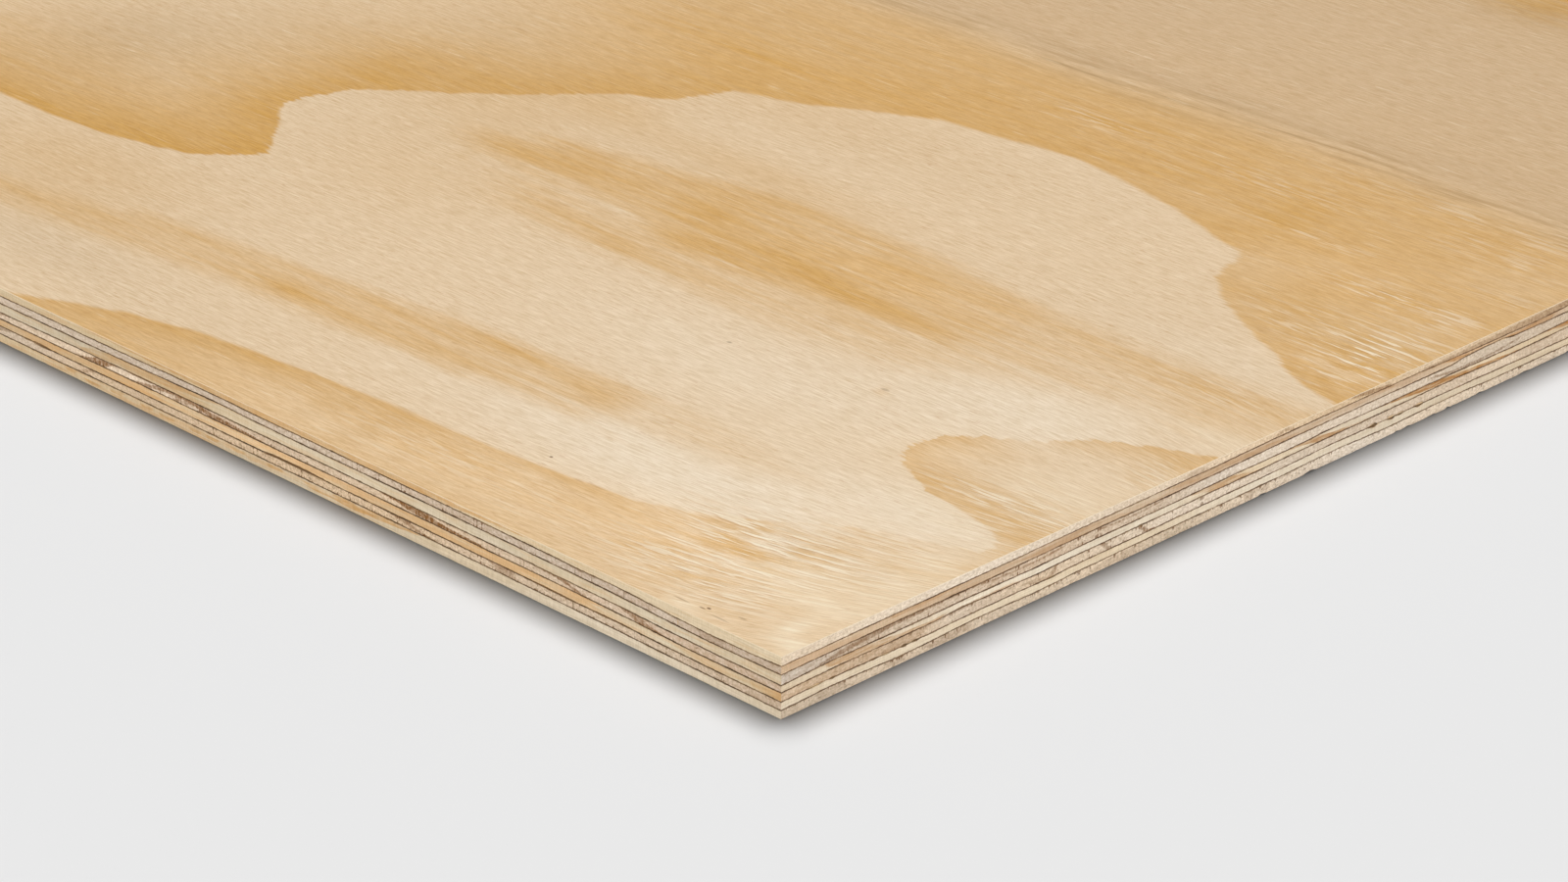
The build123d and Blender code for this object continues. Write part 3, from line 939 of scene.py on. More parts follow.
def add_hidden_cap(body, walk, ring, level, up, slot, box, values):
    """Closes a side that lies against the next layer: a stepped rim, then one inner face."""
    marks = sorted(set(list(range(0, walk.count, CAP_STEP)) + walk.corners))
    middle = [(walk.x.max() + walk.x.min()) / 2, (walk.y.max() + walk.y.min()) / 2]
    half = [(walk.x.max() - walk.x.min()) / 2, (walk.y.max() - walk.y.min()) / 2]
    inset = min(CAP_INSET, half[0] * 0.4, half[1] * 0.4)
    inner = [c + (at[marks] - c) * (h - inset) / h for at, c, h in zip((walk.x, walk.y), middle, half)]
    start = body.add_points(np.stack([*inner, np.full(len(marks), level)], 1))
    faces = []
    for n, low in enumerate(marks):
        high = marks[n + 1] if n + 1 < len(marks) else walk.count
        rim = [ring[c % walk.count] for c in range(low, high + 1)]
        faces.append(rim + [start + (n + 1) % len(marks), start + n])
    faces.append([start + n for n in range(len(marks))])
    if not up:
        faces = [face[::-1] for face in faces]
    loops = np.array([i for face in faces for i in face])
    places = cap_map(np.concatenate(body.points)[loops], box)
    same = {name: np.tile(value, (len(loops), 1)) for name, value in values.items()}
    body.add_faces(faces, slot, same, places)


def finish_piece(body, node, materials):
    """Makes a piece's mesh, in its node's place and riding on the only body."""
    piece = body.make(node.capitalize(), materials)
    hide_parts(node)
    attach(piece, "root")


# Marks and tones on the sawn edges


def free_marks(ply, side, levels):
    """Late-wood bands for the edges that the photograph doesn't show, slanting across the veneer."""
    rng = np.random.default_rng(SEED * 77 + ply * 10 + side)
    bands = END_GRAIN_BANDS if shows_end_grain(ply, side) else SIDE_GRAIN_BANDS
    low, high = levels[0] - BAND_OVERLAP, levels[1] + BAND_OVERLAP
    run = SEEN_RUN + BANDS_AFTER_SEEN if side in GLUE_ON_EDGES else BANDS_AFTER_CORNER
    out = []
    while run < side_length(side) - BANDS_BEFORE_END:
        run += rng.uniform(*bands["gap"])
        slant = rng.uniform(*bands["slant"])
        slant *= -1.0 if rng.random() < LEANING_BACK else 1.0
        width = rng.uniform(*bands["width"])
        middle = rng.uniform(0.35, 0.65)
        height = low + (high - low) * middle
        bow = slant * middle + rng.uniform(-0.25, 0.25) * slant
        outline = (
            (run, low), (run + width, low), (run + width * 0.9 + bow, height),
            (run + width + slant, high), (run + slant, high), (run + bow, height))
        out.append((rng.uniform(*bands["strength"]), outline))
    return out


def mark_values(ply, side, run, height, levels):
    """Depth within the nearest mark and that mark's strength."""
    depth = np.full(run.shape, NO_MARK_DEPTH)
    strength = np.full(run.shape, NO_MARK_STRENGTH)
    for value, outline in (*MARKS.get((ply, side), ()), *free_marks(ply, side, levels)):
        runs = [corner[0] for corner in outline]
        near = (run > min(runs) - MARK_REACH) & (run < max(runs) + MARK_REACH)
        if not near.any():
            continue
        stretched = [(corner[0], corner[1] * MARK_STRETCH) for corner in outline]
        found = depth_in_outline(run[near], height[near] * MARK_STRETCH, stretched)
        strength[near] = np.where(found > depth[near], value, strength[near])
        depth[near] = np.maximum(depth[near], found)
    return depth, strength


def placed_values(placed, ply, side, run, free):
    """Values placed along a seen edge, and free ones everywhere else."""
    if (ply, side) not in placed:
        return free
    return seen_then_free(curve(placed[ply, side], run), free, run)


def wood_values(ply, side, run):
    free = waves(TONE_DRIFT, ply, run, side, 43.0) + USUAL_TONE
    tone = free
    if (ply, side) in TONES:
        tremor = waves(TONE_TREMOR, ply, run, side, 43.0)
        tone = seen_then_free(curve(TONES[ply, side], run) + tremor, free, run)
    splits = USUAL_SPLITS + waves(SPLIT_DRIFT, ply, run, side, 37.0)
    grey = waves(GREY_DRIFT, ply, run, side, 29.0)
    light = waves(LIGHT_DRIFT, ply, run, side, 29.0)
    return (
        tone,
        placed_values(SPLITS, ply, side, run, splits),
        placed_values(GREYNESS, ply, side, run, grey),
        placed_values(EDGE_TONE_AND_PAINTED_LIGHT, ply, side, run, light),
    )


# Veneers


def layer_heights(walk, ply, half):
    """Bottom and top of a veneer at each column, between its glue lines or the sheet's outside."""
    def bottom(side, run):
        if ply == LAST_PLY:
            return 0.0 * run
        return glue_height(ply, side, run) + glue_half(ply, side, run, half)

    def top(side, run):
        if ply == 1:
            return THICKNESS + 0.0 * run
        return glue_height(ply - 1, side, run) - glue_half(ply - 1, side, run, half)

    return walk.per_column(bottom), walk.per_column(top)


def row_heights(bottom, thickness):
    return bottom[:, None] + thickness[:, None] * np.array(ROW_SHARES)[None, :]


def edge_slot(walk, ply, side):
    if not walk.side_is_outer(side):
        return BROAD_FACE
    return END_GRAIN if shows_end_grain(ply, side) else SIDE_GRAIN


def add_edges(body, walk, ply, heights, x, y, box):
    """Adds a veneer's four sawn edges and what their material reads, and gives the lowest and top ring."""
    rows = heights.shape[1]
    start = body.add_points(np.stack([x.ravel(), y.ravel(), heights.ravel()], 1))
    quads, j, k = grid_quads(start, walk.count, rows - 1, True)
    places = strip_map(walk, j, k, heights, box).reshape(-1, 4, 2)
    levels = (THICKNESS, *GLUE_LEVELS, 0.0)
    for side in range(4):
        chosen = np.nonzero(walk.side[j] == side)[0]
        run, height, to_glue, to_arris = np.zeros((4, len(chosen), 4))
        for corner, (dj, dk) in enumerate(((0, 0), (1, 0), (1, 1), (0, 1))):
            column = (j[chosen] + dj) % walk.count
            row = k[chosen] + dk
            run[:, corner] = side_runs(side, walk.x[column], walk.y[column])
            height[:, corner] = heights[column, row]
            up = heights[column, row] - heights[column, 0]
            down = heights[column, -1] - heights[column, row]
            to_glue[:, corner] = {1: up, LAST_PLY: down}.get(ply, np.minimum(up, down))
            to_arris[:, corner] = down if ply == 1 else HIDDEN_VALUES["layer"][2]
        run, height = run.ravel(), height.ravel()
        depth, strength = mark_values(ply, side, run, height, (levels[ply], levels[ply - 1]))
        tone, splits, grey, light = wood_values(ply, side, run)
        values = {
            "ring": np.stack([depth, strength, tone], 1),
            "run": np.stack([run, height, np.full(run.size, 613.0 * ply + 97.0 * side)], 1),
            "layer": np.stack([to_glue.ravel(), splits, to_arris.ravel()], 1),
            "cast": np.stack([grey, light, 0.0 * grey], 1),
        }
        slot = edge_slot(walk, ply, side)
        body.add_faces(quads[chosen].tolist(), slot, values, places[chosen].reshape(-1, 2))
    low = [start + c * rows for c in range(walk.count)]
    return low, [vertex + rows - 1 for vertex in low]


def saw_offsets(walk, ply, roughness, first):
    """Columns moved in from the true edge by a first inset and the saw's unevenness."""
    along = walk.length[:-1]
    coarse = 0.5 + 0.5 * Field(200 + ply, 3.1, EDGE_ROW)(along)
    slow = 0.5 + 0.5 * Field(220 + ply, 40.0, EDGE_ROW)(along)
    inset = roughness * (0.25 + 0.45 * coarse + 0.3 * slow)
    inset = inset[:, None] + first
    x = walk.x[:, None] - walk.normal[:, :1] * inset
    y = walk.y[:, None] - walk.normal[:, 1:] * inset
    return x, y


def joint_insets(walk, gap):
    inset_x = np.zeros(walk.count)
    if not walk.outer_short:
        inset_x[walk.x > walk.x.max() - 0.01] = -gap / 2
    if not walk.outer_left:
        inset_x[walk.x < walk.x.min() + 0.01] = gap / 2
    return inset_x[:, None]


def build_inner_veneer(node, ply, sizes, materials, run_start=0.0, run_end=LENGTH):
    """A core veneer or one sheet of a crossband, between two glue lines."""
    walk = Walk(run_start, run_end)
    half = sizes.glue_thickness / MM / 2
    bottom, top = layer_heights(walk, ply, half)
    heights = row_heights(bottom, top - bottom)
    x, y = saw_offsets(walk, ply, sizes.saw_roughness / MM, np.zeros(heights.shape))
    x = x + joint_insets(walk, sizes.joint_gap / MM)
    body = Body()
    low, high = add_edges(body, walk, ply, heights, x, y, STRIP_AREA)
    above, below = GLUE_LEVELS[ply - 2] - half, GLUE_LEVELS[ply - 1] + half
    add_hidden_cap(body, walk, high, above, True, HIDDEN, HIGH_CAP_AREA, HIDDEN_VALUES)
    add_hidden_cap(body, walk, low, below, False, HIDDEN, LOW_CAP_AREA, HIDDEN_VALUES)
    finish_piece(body, node, materials)


def build_glue_line(line, sizes, material):
    walk = Walk()
    half = sizes.glue_thickness / MM / 2
    middle = walk.per_column(lambda side, run: glue_height(line, side, run))
    width = walk.per_column(lambda side, run: glue_half(line, side, run, half))
    opened = walk.per_column(lambda side, run: gap_share(line, side, run))
    heights = np.stack([middle - width, middle + width], 1)
    recess = (sizes.glue_recess / MM) * (1.0 + waves(GLUE_SHRINK, line, walk.length[:-1]))
    inset = recess + opened * GAP_DEPTH
    x = (walk.x - walk.normal[:, 0] * inset)[:, None].repeat(2, 1)
    y = (walk.y - walk.normal[:, 1] * inset)[:, None].repeat(2, 1)
    body = Body()
    start = body.add_points(np.stack([x.ravel(), y.ravel(), heights.ravel()], 1))
    quads, j, k = grid_quads(start, walk.count, 1, True)
    run = np.stack([walk.length[j], walk.length[j + 1], walk.length[j + 1], walk.length[j]], 1).ravel()
    level = GLUE_LEVELS[line - 1]
    values = {"run": np.stack([run, np.full(run.size, level), np.full(run.size, 50.0 * line)], 1)}
    body.add_faces(quads.tolist(), 0, values, strip_map(walk, j, k, heights, STRIP_AREA))
    low = [start + c * 2 for c in range(walk.count)]
    high = [vertex + 1 for vertex in low]
    add_hidden_cap(body, walk, high, level + half, True, 0, HIGH_CAP_AREA, HIDDEN_GLUE_VALUES)
    add_hidden_cap(body, walk, low, level - half, False, 0, LOW_CAP_AREA, HIDDEN_GLUE_VALUES)
    finish_piece(body, f"glue_line_{line}", [material])


# Figure on the face and back


def growth_phase(run_x, run_y, seed):
    bend = 60 * Field(310 + seed, 300.0, 90.0)(run_x, run_y)
    broad = Field(300 + seed, 620.0, 175.0)(run_x + bend, run_y)
    middle = Field(320 + seed, 260.0, 80.0)(run_x, run_y)
    fine = Field(340 + seed, 90.0, 26.0)(run_x, run_y)
    return 1.9 * broad + 0.55 * middle + 0.08 * fine + run_y / 520.0


def warm_areas(run_x, run_y):
    total = np.zeros(run_x.shape)
    for strength, softness, outline in WARM_AREAS:
        drawn_in = [(x * ALONG_GRAIN, y) for x, y in outline]
        depth = depth_in_outline(run_x * ALONG_GRAIN, run_y, drawn_in)
        total = np.maximum(total, strength * smooth(-softness, softness, depth))
    return total


def fade_reach(run_x, run_y):
    """How far the amber fades from the figure's line: a mean of placed lengths by nearness."""
    weight = np.full(run_x.shape, USUAL_FADE_WEIGHT)
    total = USUAL_FADE * weight
    for *spot, length in FADE_LENGTHS:
        share = patches([(*spot, 2.0)], run_x, run_y)
        total += share * length
        weight += share
    return total / weight


def amber_phase(depth, reach):
    """Ring phase on both sides of the pale figure's line, at a depth within it."""
    outside = 1.0 - BEYOND_FIGURE * (1 - np.exp(np.minimum(depth, 0.0) / reach))
    inside = 1.0 + WITHIN_FIGURE * (1 - np.exp(-np.maximum(depth, 0.0) / INNER_FADE))
    return np.where(depth > 0, inside, outside)


def face_figure(run_x, run_y):
    """What the face's material reads, over both runs."""
    bend = Field(360, 60.0, 20.0)(run_x, run_y) * 2.0
    depth = depth_in_outline(run_x, run_y + bend * 0.25, PALE_FIGURE)
    rise = PINK_RISE * smooth(0.0, 120.0, run_x)
    pink = smooth(PINK_BEGINS, PINK_FULL, run_y + bend * 1.5 + run_x * 0.01 - rise)
    streaks = np.exp(-((run_y - STREAKS_AT - rise + bend * 2) / STREAKS_REACH) ** 2)
    amber = USUAL_AMBER + patches(AMBER_STRENGTHS, run_x, run_y)
    amber = amber * (1 - 0.88 * pink * (1 - smooth(478.0, 520.0, run_y + run_x * 0.05)))
    beyond = run_x - SEEN_FACE_END + 0.3 * run_y
    share = smooth(0.0, 150.0, np.maximum(beyond, run_y - 520.0))
    late = smooth(0.0, 150.0, np.maximum(beyond * PINK_FADE, run_y - 520.0))
    free_pink = smooth(-0.3, 0.7, Field(370, 500.0, 160.0)(run_x, run_y))
    free_warm = 0.3 * smooth(0.1, 0.9, Field(380, 260.0, 26.0)(run_x, run_y))
    free_raised = 0.7 * smooth(0.35, 0.9, Field(382, 110.0, 22.0)(run_x, run_y))

    def mixed(seen, free, amount=share):
        return seen * (1 - amount) + free * amount

    warm = warm_areas(run_x, run_y + bend * 0.5) + patches(WARM_SPOTS, run_x, run_y)
    base = USUAL_WARMTH + patches(BASE_WARMTH, run_x, run_y) * (1 - share)
    return {
        "phase": mixed(amber_phase(depth, fade_reach(run_x, run_y)), growth_phase(run_x, run_y, 1)),
        "warm": mixed(warm, free_warm),
        "strength": mixed(amber, 0.8, late),
        "shift": -curve(FIBRE_RISE, run_y) * np.exp(-run_x / FIBRE_REACH),
        "pink": mixed(pink, free_pink, late),
        "streaks": streaks * (1 - share) * (1.0 + 0.35 * Field(390, 40.0, EDGE_ROW)(run_x)),
        "worn": patches(WORN_PATCHES, run_x, run_y) * (1 - share),
        "raised": mixed(patches(RAISED_PATCHES, run_x, run_y), free_raised),
        "base": base * (1 - pink * (1 - late)),
        # Partly tone and partly painted light, brighter towards the near corner and a little darker beyond
        # the seen face
        "lightness": mixed(patches(FACE_TONE_AND_PAINTED_LIGHT, run_x, run_y), -0.015),
    }


def back_figure(run_x, run_y):
    """The same for the back, which the photograph doesn't show."""
    return {
        "phase": growth_phase(run_x, run_y, 2) * 0.8,
        "warm": 0.35 * smooth(0.1, 0.9, Field(385, 260.0, 26.0)(run_x, run_y)),
        "strength": np.full(run_x.shape, 0.7),
        "shift": 6.0 * Field(396, 240.0, 120.0)(run_x, run_y),
        "pink": smooth(-0.4, 0.6, Field(375, 480.0, 150.0)(run_x, run_y)),
        "streaks": 0.4 * smooth(0.2, 0.9, Field(395, 220.0, 12.0)(run_x, run_y)),
        "worn": np.zeros(run_x.shape),
        "raised": 0.8 * smooth(0.2, 0.9, Field(397, 130.0, 26.0)(run_x, run_y)),
        "base": np.full(run_x.shape, USUAL_WARMTH),
        "lightness": np.full(run_x.shape, -0.02),
    }


def rim_faces(walk, ring, inner):
    """Faces of a broad face's outermost cells, which take in every column of the walk."""
    last_x, last_y = len(LINES_X) - 1, len(LINES_Y) - 1
    runs = zip(LENGTH / 2 - walk.x, walk.y + WIDTH / 2)
    column_at = {(round(x, 3), round(y, 3)): column for column, (x, y) in enumerate(runs)}

    def column(i, j):
        return column_at[(round(float(LINES_X[i]), 3), round(float(LINES_Y[j]), 3))]

    def vertex(i, j):
        if 0 < i < last_x and 0 < j < last_y:
            return int(inner[i - 1, j - 1])
        return ring[column(i, j)]

    def between(here, after):
        a, b = column(*here), column(*after)
        forward = (b - a) % walk.count
        if forward <= walk.count // 2:
            return [ring[(a + n) % walk.count] for n in range(1, forward)]
        return [ring[(a - n) % walk.count] for n in range(1, walk.count - forward)]

    faces = []
    for i in range(last_x):
        for j in range(last_y):
            if 0 < i < last_x - 1 and 0 < j < last_y - 1:
                continue
            corners = [(i, j), (i, j + 1), (i + 1, j + 1), (i + 1, j)]
            face = []
            for here, after in zip(corners, corners[1:] + corners[:1]):
                face.append(vertex(*here))
                along_x_rim = here[0] == after[0] and here[0] in (0, last_x)
                along_y_rim = here[1] == after[1] and here[1] in (0, last_y)
                if along_x_rim or along_y_rim:
                    face.extend(between(here, after))
            faces.append(face)
    return faces


def grid_reader(at):
    """A function that reads a grid over the broad face at given points, evenly between its lines."""
    run_x = LENGTH / 2 - at[:, 0]
    run_y = at[:, 1] + WIDTH / 2
    i = np.clip(np.searchsorted(LINES_X, run_x, side="right") - 1, 0, len(LINES_X) - 2)
    j = np.clip(np.searchsorted(LINES_Y, run_y, side="right") - 1, 0, len(LINES_Y) - 2)
    a = (run_x - LINES_X[i]) / (LINES_X[i + 1] - LINES_X[i])
    b = (run_y - LINES_Y[j]) / (LINES_Y[j + 1] - LINES_Y[j])

    def read(grid):
        low = grid[i, j] * (1 - a) + grid[i + 1, j] * a
        high = grid[i, j + 1] * (1 - a) + grid[i + 1, j + 1] * a
        return low * (1 - b) + high * b

    return read


def add_broad_face(body, walk, ring, level, up, figure):
    """The face or back as a grid of cells, joined to the walk's columns at its rim."""
    run_x, run_y = np.meshgrid(LINES_X, LINES_Y, indexing="ij")
    points = np.stack([LENGTH / 2 - run_x, run_y - WIDTH / 2, np.full(run_x.shape, level)], 2)
    fields = figure(run_x, run_y)
    fields["rise_x"] = np.gradient(fields["phase"], LINES_X, axis=0)
    fields["rise_y"] = np.gradient(fields["phase"], LINES_Y, axis=1)
    start = body.add_points(points[1:-1, 1:-1].reshape(-1, 3))
    shape = (len(LINES_X) - 2, len(LINES_Y) - 2)
    inner = start + np.arange(shape[0] * shape[1]).reshape(shape)
    quads = np.stack([inner[:-1, :-1], inner[:-1, 1:], inner[1:, 1:], inner[1:, :-1]], 2).reshape(-1, 4)
    faces = quads.tolist() + rim_faces(walk, ring, inner)
    # Runs grow towards -X, so these corners turn counter-clockwise seen from above
    faces = faces if up else [face[::-1] for face in faces]
    at = np.concatenate(body.points)[np.array([v for face in faces for v in face])]
    read = grid_reader(at)
    values = {}
    for name, parts in FIGURE_VALUES.items():
        values[name] = np.stack([read(fields[part]) for part in parts], 1)
    body.add_faces(faces, BROAD_FACE, values, cap_map(at, BROAD_AREA))


def worn_arris(walk, wear):
    along = walk.length[:-1]
    chips = smooth(0.55, 0.95, Field(260, 5.0, EDGE_ROW)(along)) * 0.8
    return wear * (0.35 + 0.3 * (0.5 + 0.5 * Field(262, 14.0, EDGE_ROW)(along)) + chips)


def torn_arris(walk, depth):
    """How deep the back's arris is torn at each column, most on the short ends."""
    along = walk.length[:-1]
    ragged = smooth(0.3, 0.95, Field(270, 1.5, EDGE_ROW)(along))
    ragged = ragged * (0.4 + 0.6 * smooth(-0.4, 0.6, Field(272, 24.0, EDGE_ROW)(along)))

    def share(side, run):
        if side == SHORT:
            return 0.1 + 0.9 * smooth(140.0, 210.0, run)
        return (0.8 if side == LEFT else 0.1) + 0.0 * run

    return depth * ragged * walk.per_column(share)


def build_face_veneer(sizes, materials):
    """The face veneer, with its figure and a slightly worn arris."""
    walk = Walk()
    half = sizes.glue_thickness / MM / 2
    bottom, top = layer_heights(walk, 1, half)
    worn = worn_arris(walk, sizes.arris_wear / MM)
    heights = row_heights(bottom, top - worn - bottom)
    inset = np.zeros(heights.shape)
    inset[:, -1] = worn * 0.9
    inset[:, -2] = worn * 0.15
    x, y = saw_offsets(walk, 1, sizes.saw_roughness / MM, inset)
    body = Body()
    low, high = add_edges(body, walk, 1, heights, x, y, BROAD_STRIP_AREA)
    add_broad_face(body, walk, high, THICKNESS, True, face_figure)
    below = GLUE_LEVELS[0] + half
    add_hidden_cap(body, walk, low, below, False, HIDDEN, BROAD_CAP_AREA, HIDDEN_VALUES)
    finish_piece(body, "face_veneer", materials)


def build_back_veneer(sizes, materials):
    """The back veneer, with torn fibres along its arris."""
    walk = Walk()
    half = sizes.glue_thickness / MM / 2
    bottom, top = layer_heights(walk, LAST_PLY, half)
    torn = torn_arris(walk, sizes.splinter_depth / MM)
    heights = row_heights(bottom + torn, top - bottom - torn)
    inset = np.zeros(heights.shape)
    inset[:, 0] = torn * 0.5 + 0.03
    x, y = saw_offsets(walk, LAST_PLY, sizes.saw_roughness / MM, inset)
    body = Body()
    low, high = add_edges(body, walk, LAST_PLY, heights, x, y, BROAD_STRIP_AREA)
    add_broad_face(body, walk, low, 0.0, False, back_figure)
    above = GLUE_LEVELS[-1] - half
    add_hidden_cap(body, walk, high, above, True, HIDDEN, BROAD_CAP_AREA, HIDDEN_VALUES)
    finish_piece(body, "back_veneer", materials)


# Materials

WHITE = (1.0, 1.0, 1.0)
NODE_SPACING = 190

# Roughness and specular level of each finish
PEELED_FINISH = (0.62, 0.16)
SAWN_FINISH = (0.8, 0.18)
INSIDE_FINISH = (0.8, 0.15)
RESIN_FINISH = (0.55, 0.3)
FLOOR_FINISH = (0.9, 0.0)
LATE_WOOD_ROUGHNESS = 0.54
EARLY_WOOD_ROUGHNESS = 0.66

# How red, green and blue follow the fibres' light and dark, and a greyer or warmer cast
PEELED_TINT = (0.75, 1.0, 1.5)
SAWN_TINT = (0.85, 1.0, 1.25)
CAST_TINT = (-0.05, 0.02, 0.14)

# How strongly the finest fibres show on the sanded face and on the unsanded back
FACE_CONTRAST = 0.16
BACK_CONTRAST = 0.2

# Share of each mark in the colour of a peeled face, the troughs' painted shade and the crests' painted
# highlight among them
DUSKY_SHARE = 0.75
DARK_THREAD_SHARE = 0.2
BRIGHT_THREAD_SHARE = 0.24
PORE_SHARE = 0.36
TROUGH_SHADE_SHARE = 0.45
CREST_HIGHLIGHT_SHARE = 0.8
VEIN_SHARE = 0.32

# Share of lathe checks and of resin in the colour of a sawn edge
CHECK_SHARE = 0.65
STAIN_SHARE = 0.82
SAWN_RELIEF = 0.00012

# Noises of a peeled face: level, changes per millimetre along and across the grain, detail, roughness
PEELED_NOISES = {
    "fine": (0.0, 0.12, 1.5, 3.0, 0.75),
    "broad": (10.0, 0.016, 0.26, 4.0, 0.6),
    "threads": (20.0, 0.05, 0.95, 3.0, 0.55),
    "pores": (30.0, 0.2, 1.35, 2.0, 0.5),
    "crowds": (35.0, 0.012, 0.035, 2.0, 0.5),
    "ridges": (40.0, 0.055, 0.62, 3.0, 0.55),
    "veins": (50.0, 0.045, 0.2, 4.0, 0.65),
}
# How far across the grain the painted shade lies from each raised fibre's crest
SHADE_BESIDE_HIGHLIGHT = (0.0, 0.65, 0.0)

# Amber over one growth ring: sharp at the ring's line, and rising slowly towards the next
RING_STOPS = ((0.0, 1.0), (0.013, 0.0), (0.28, 0.03), (0.5, 0.3), (0.72, 0.72), (0.9, 0.94), (1.0, 1.0))

# How ragged late wood is along and across an edge, per millimetre
END_GRAIN_RAGGED = (1.1, 0.7, 1.0)
SIDE_GRAIN_RAGGED = (0.16, 1.3, 1.0)


class Net:
    """Adds nodes to one tree and joins them."""

    def __init__(self, tree):
        self.tree = tree
        self.column = 0

    def add(self, kind, inputs=None, **settings):
        node = self.tree.nodes.new("ShaderNode" + kind)
        node.location = (self.column * NODE_SPACING, 0)
        self.column += 1
        for name, value in settings.items():
            setattr(node, name, value)
        for key, value in (inputs or {}).items():
            self.feed(node.inputs[key], value)
        return node

    def feed(self, socket, value):
        if isinstance(value, bpy.types.NodeSocket):
            self.tree.links.new(value, socket)
        elif socket.type == "RGBA":
            socket.default_value = (*value, 1.0)
        else:
            socket.default_value = value

    def math(self, operation, a, b=0.0, clamp=False):
        return self.add("Math", {0: a, 1: b}, operation=operation, use_clamp=clamp).outputs[0]

    def times(self, a, b, clamp=False):
        return self.math("MULTIPLY", a, b, clamp)

    def plus(self, a, b, clamp=False):
        return self.math("ADD", a, b, clamp)

    def minus(self, a, b, clamp=False):
        return self.math("SUBTRACT", a, b, clamp)

    def swing(self, noise, reach):
        return self.times(self.minus(noise, 0.5), reach)

    def vector(self, operation, a, b):
        key = 3 if operation == "SCALE" else 1
        return self.add("VectorMath", {0: a, key: b}, operation=operation).outputs[0]

    def tinted(self, colour, tint, amount):
        """A colour changed by an amount, with red, green and blue in different measure."""
        factor = self.vector("ADD", self.vector("SCALE", tint, amount), WHITE)
        return self.vector("MULTIPLY", colour, factor)

    def lighter(self, colour, change):
        return self.vector("SCALE", colour, self.plus(1.0, change))

    def blend(self, share, a, b, kind="MIX"):
        return self.add("Mix", {0: share, 6: a, 7: b}, data_type="RGBA", blend_type=kind).outputs[2]

    def step(self, value, low, high, bottom=0.0, top=1.0):
        limits = {0: value, 1: low, 2: high, 3: bottom, 4: top}
        return self.add("MapRange", limits, interpolation_type="SMOOTHSTEP").outputs[0]

    def noise(self, place, stretch, detail=2.0, roughness=0.5):
        """Noise at a place in millimetres, with its changes per millimetre along each axis."""
        stretched = self.vector("MULTIPLY", place, stretch)
        inputs = {"Vector": stretched, "Scale": 1.0, "Detail": detail, "Roughness": roughness}
        return self.add("TexNoise", inputs).outputs[0]

    def attribute(self, name):
        vector = self.add("Attribute", attribute_name=name, attribute_type="GEOMETRY").outputs["Vector"]
        return (vector, *self.add("SeparateXYZ", {0: vector}).outputs)

    def ramp(self, value, stops):
        node = self.add("ValToRGB", {0: value})
        node.color_ramp.interpolation = "LINEAR"
        elements = node.color_ramp.elements
        while len(elements) < len(stops):
            elements.new(0.5)
        for element, (at, grey) in zip(elements, stops):
            element.position = at
            element.color = (grey, grey, grey, 1.0)
        return node.outputs[0]


def face_fibres(net, given):
    """Streaks, threads, pores and raised fibres of a peeled face, whose grain runs along X, with a painted
    highlight on each raised fibre's crest and painted shade beside it.
    """
    slow = net.noise(given["Place"], (0.006, 0.014, 0.0))
    shift = net.add("CombineXYZ", {1: net.plus(net.swing(slow, 5.0), given["Shift"])}).outputs[0]
    bent = net.vector("ADD", given["Place"], shift)

    def fibres(name, beside=None):
        level, along, across, detail, roughness = PEELED_NOISES[name]
        place = net.vector("ADD", bent, (0.0, 0.0, level))
        if beside:
            place = net.vector("ADD", place, beside)
        return net.noise(place, (along, across, 1.0), detail, roughness)

    fine, threads, ridges = fibres("fine"), fibres("threads"), fibres("ridges")
    rise = net.times(net.times(ridges, given["Raised"]), 0.9)
    crowded = net.step(fibres("crowds"), 0.38, 0.6, 0.25, 1.0)
    return {
        "Fine": fine,
        "Broad": fibres("broad"),
        "Dark Threads": net.step(threads, 0.61, 0.72),
        "Bright Threads": net.step(threads, 0.4, 0.3),
        "Pores": net.times(net.step(fibres("pores"), 0.6, 0.72), crowded),
        # Painted highlight along the lit crests of raised fibres
        "Crest": net.step(ridges, 0.525, 0.605),
        # Painted shade on the far side of each crest, from the same noise moved across the grain
        "Trough": net.step(fibres("ridges", SHADE_BESIDE_HIGHLIGHT), 0.54, 0.62),
        "Veins": net.step(fibres("veins"), 0.34, 0.66, -1.0, 1.0),
        "Relief": net.plus(net.times(fine, 0.1), rise),
    }


def growth_figure(net, given):
    """Amber share from a veneer's ring phase, with ragged fingers at each ring's line."""
    fingers = net.noise(given["Place"], (0.05, 0.6, 0.0), 4.0, 0.66)
    waver = net.noise(given["Place"], (0.05, 0.16, 7.0), 3.0)
    slope = net.add("SeparateXYZ", {0: given["Slope"]}).outputs
    along = net.times(net.swing(fingers, 9.0), slope[0])
    across = net.times(net.swing(waver, 2.6), slope[1])
    phase = net.plus(given["Phase"], net.plus(along, across))
    return {"Amber": net.ramp(net.math("FRACT", phase), RING_STOPS)}


def sawn_speckle(net, given):
    """Pores, blotches and checks of sawn end grain."""
    place = given["Place"]
    lean = net.vector("ADD", place, (0.0, 0.0, 5.0))
    splits_at = net.noise(lean, (0.8, 0.3, 1.0), 3.0, 0.55)
    thin = net.step(net.math("ABSOLUTE", net.minus(splits_at, 0.5)), 0.0, 0.03, 1.0, 0.0)
    patchy = net.noise(place, (0.5, 1.3, 2.0))
    allowed = net.step(net.plus(patchy, net.times(given["Splits"], 0.3)), 0.66, 0.76)
    return {
        "Pores": net.noise(place, (1.0, 1.6, 1.0), 3.0, 0.65),
        "Blotches": net.noise(place, (0.3, 0.8, 1.0), 3.0, 0.55),
        "Upright": net.noise(place, (1.2, 0.5, 1.0), 3.0, 0.65),
        "Splits": net.times(thin, allowed),
    }


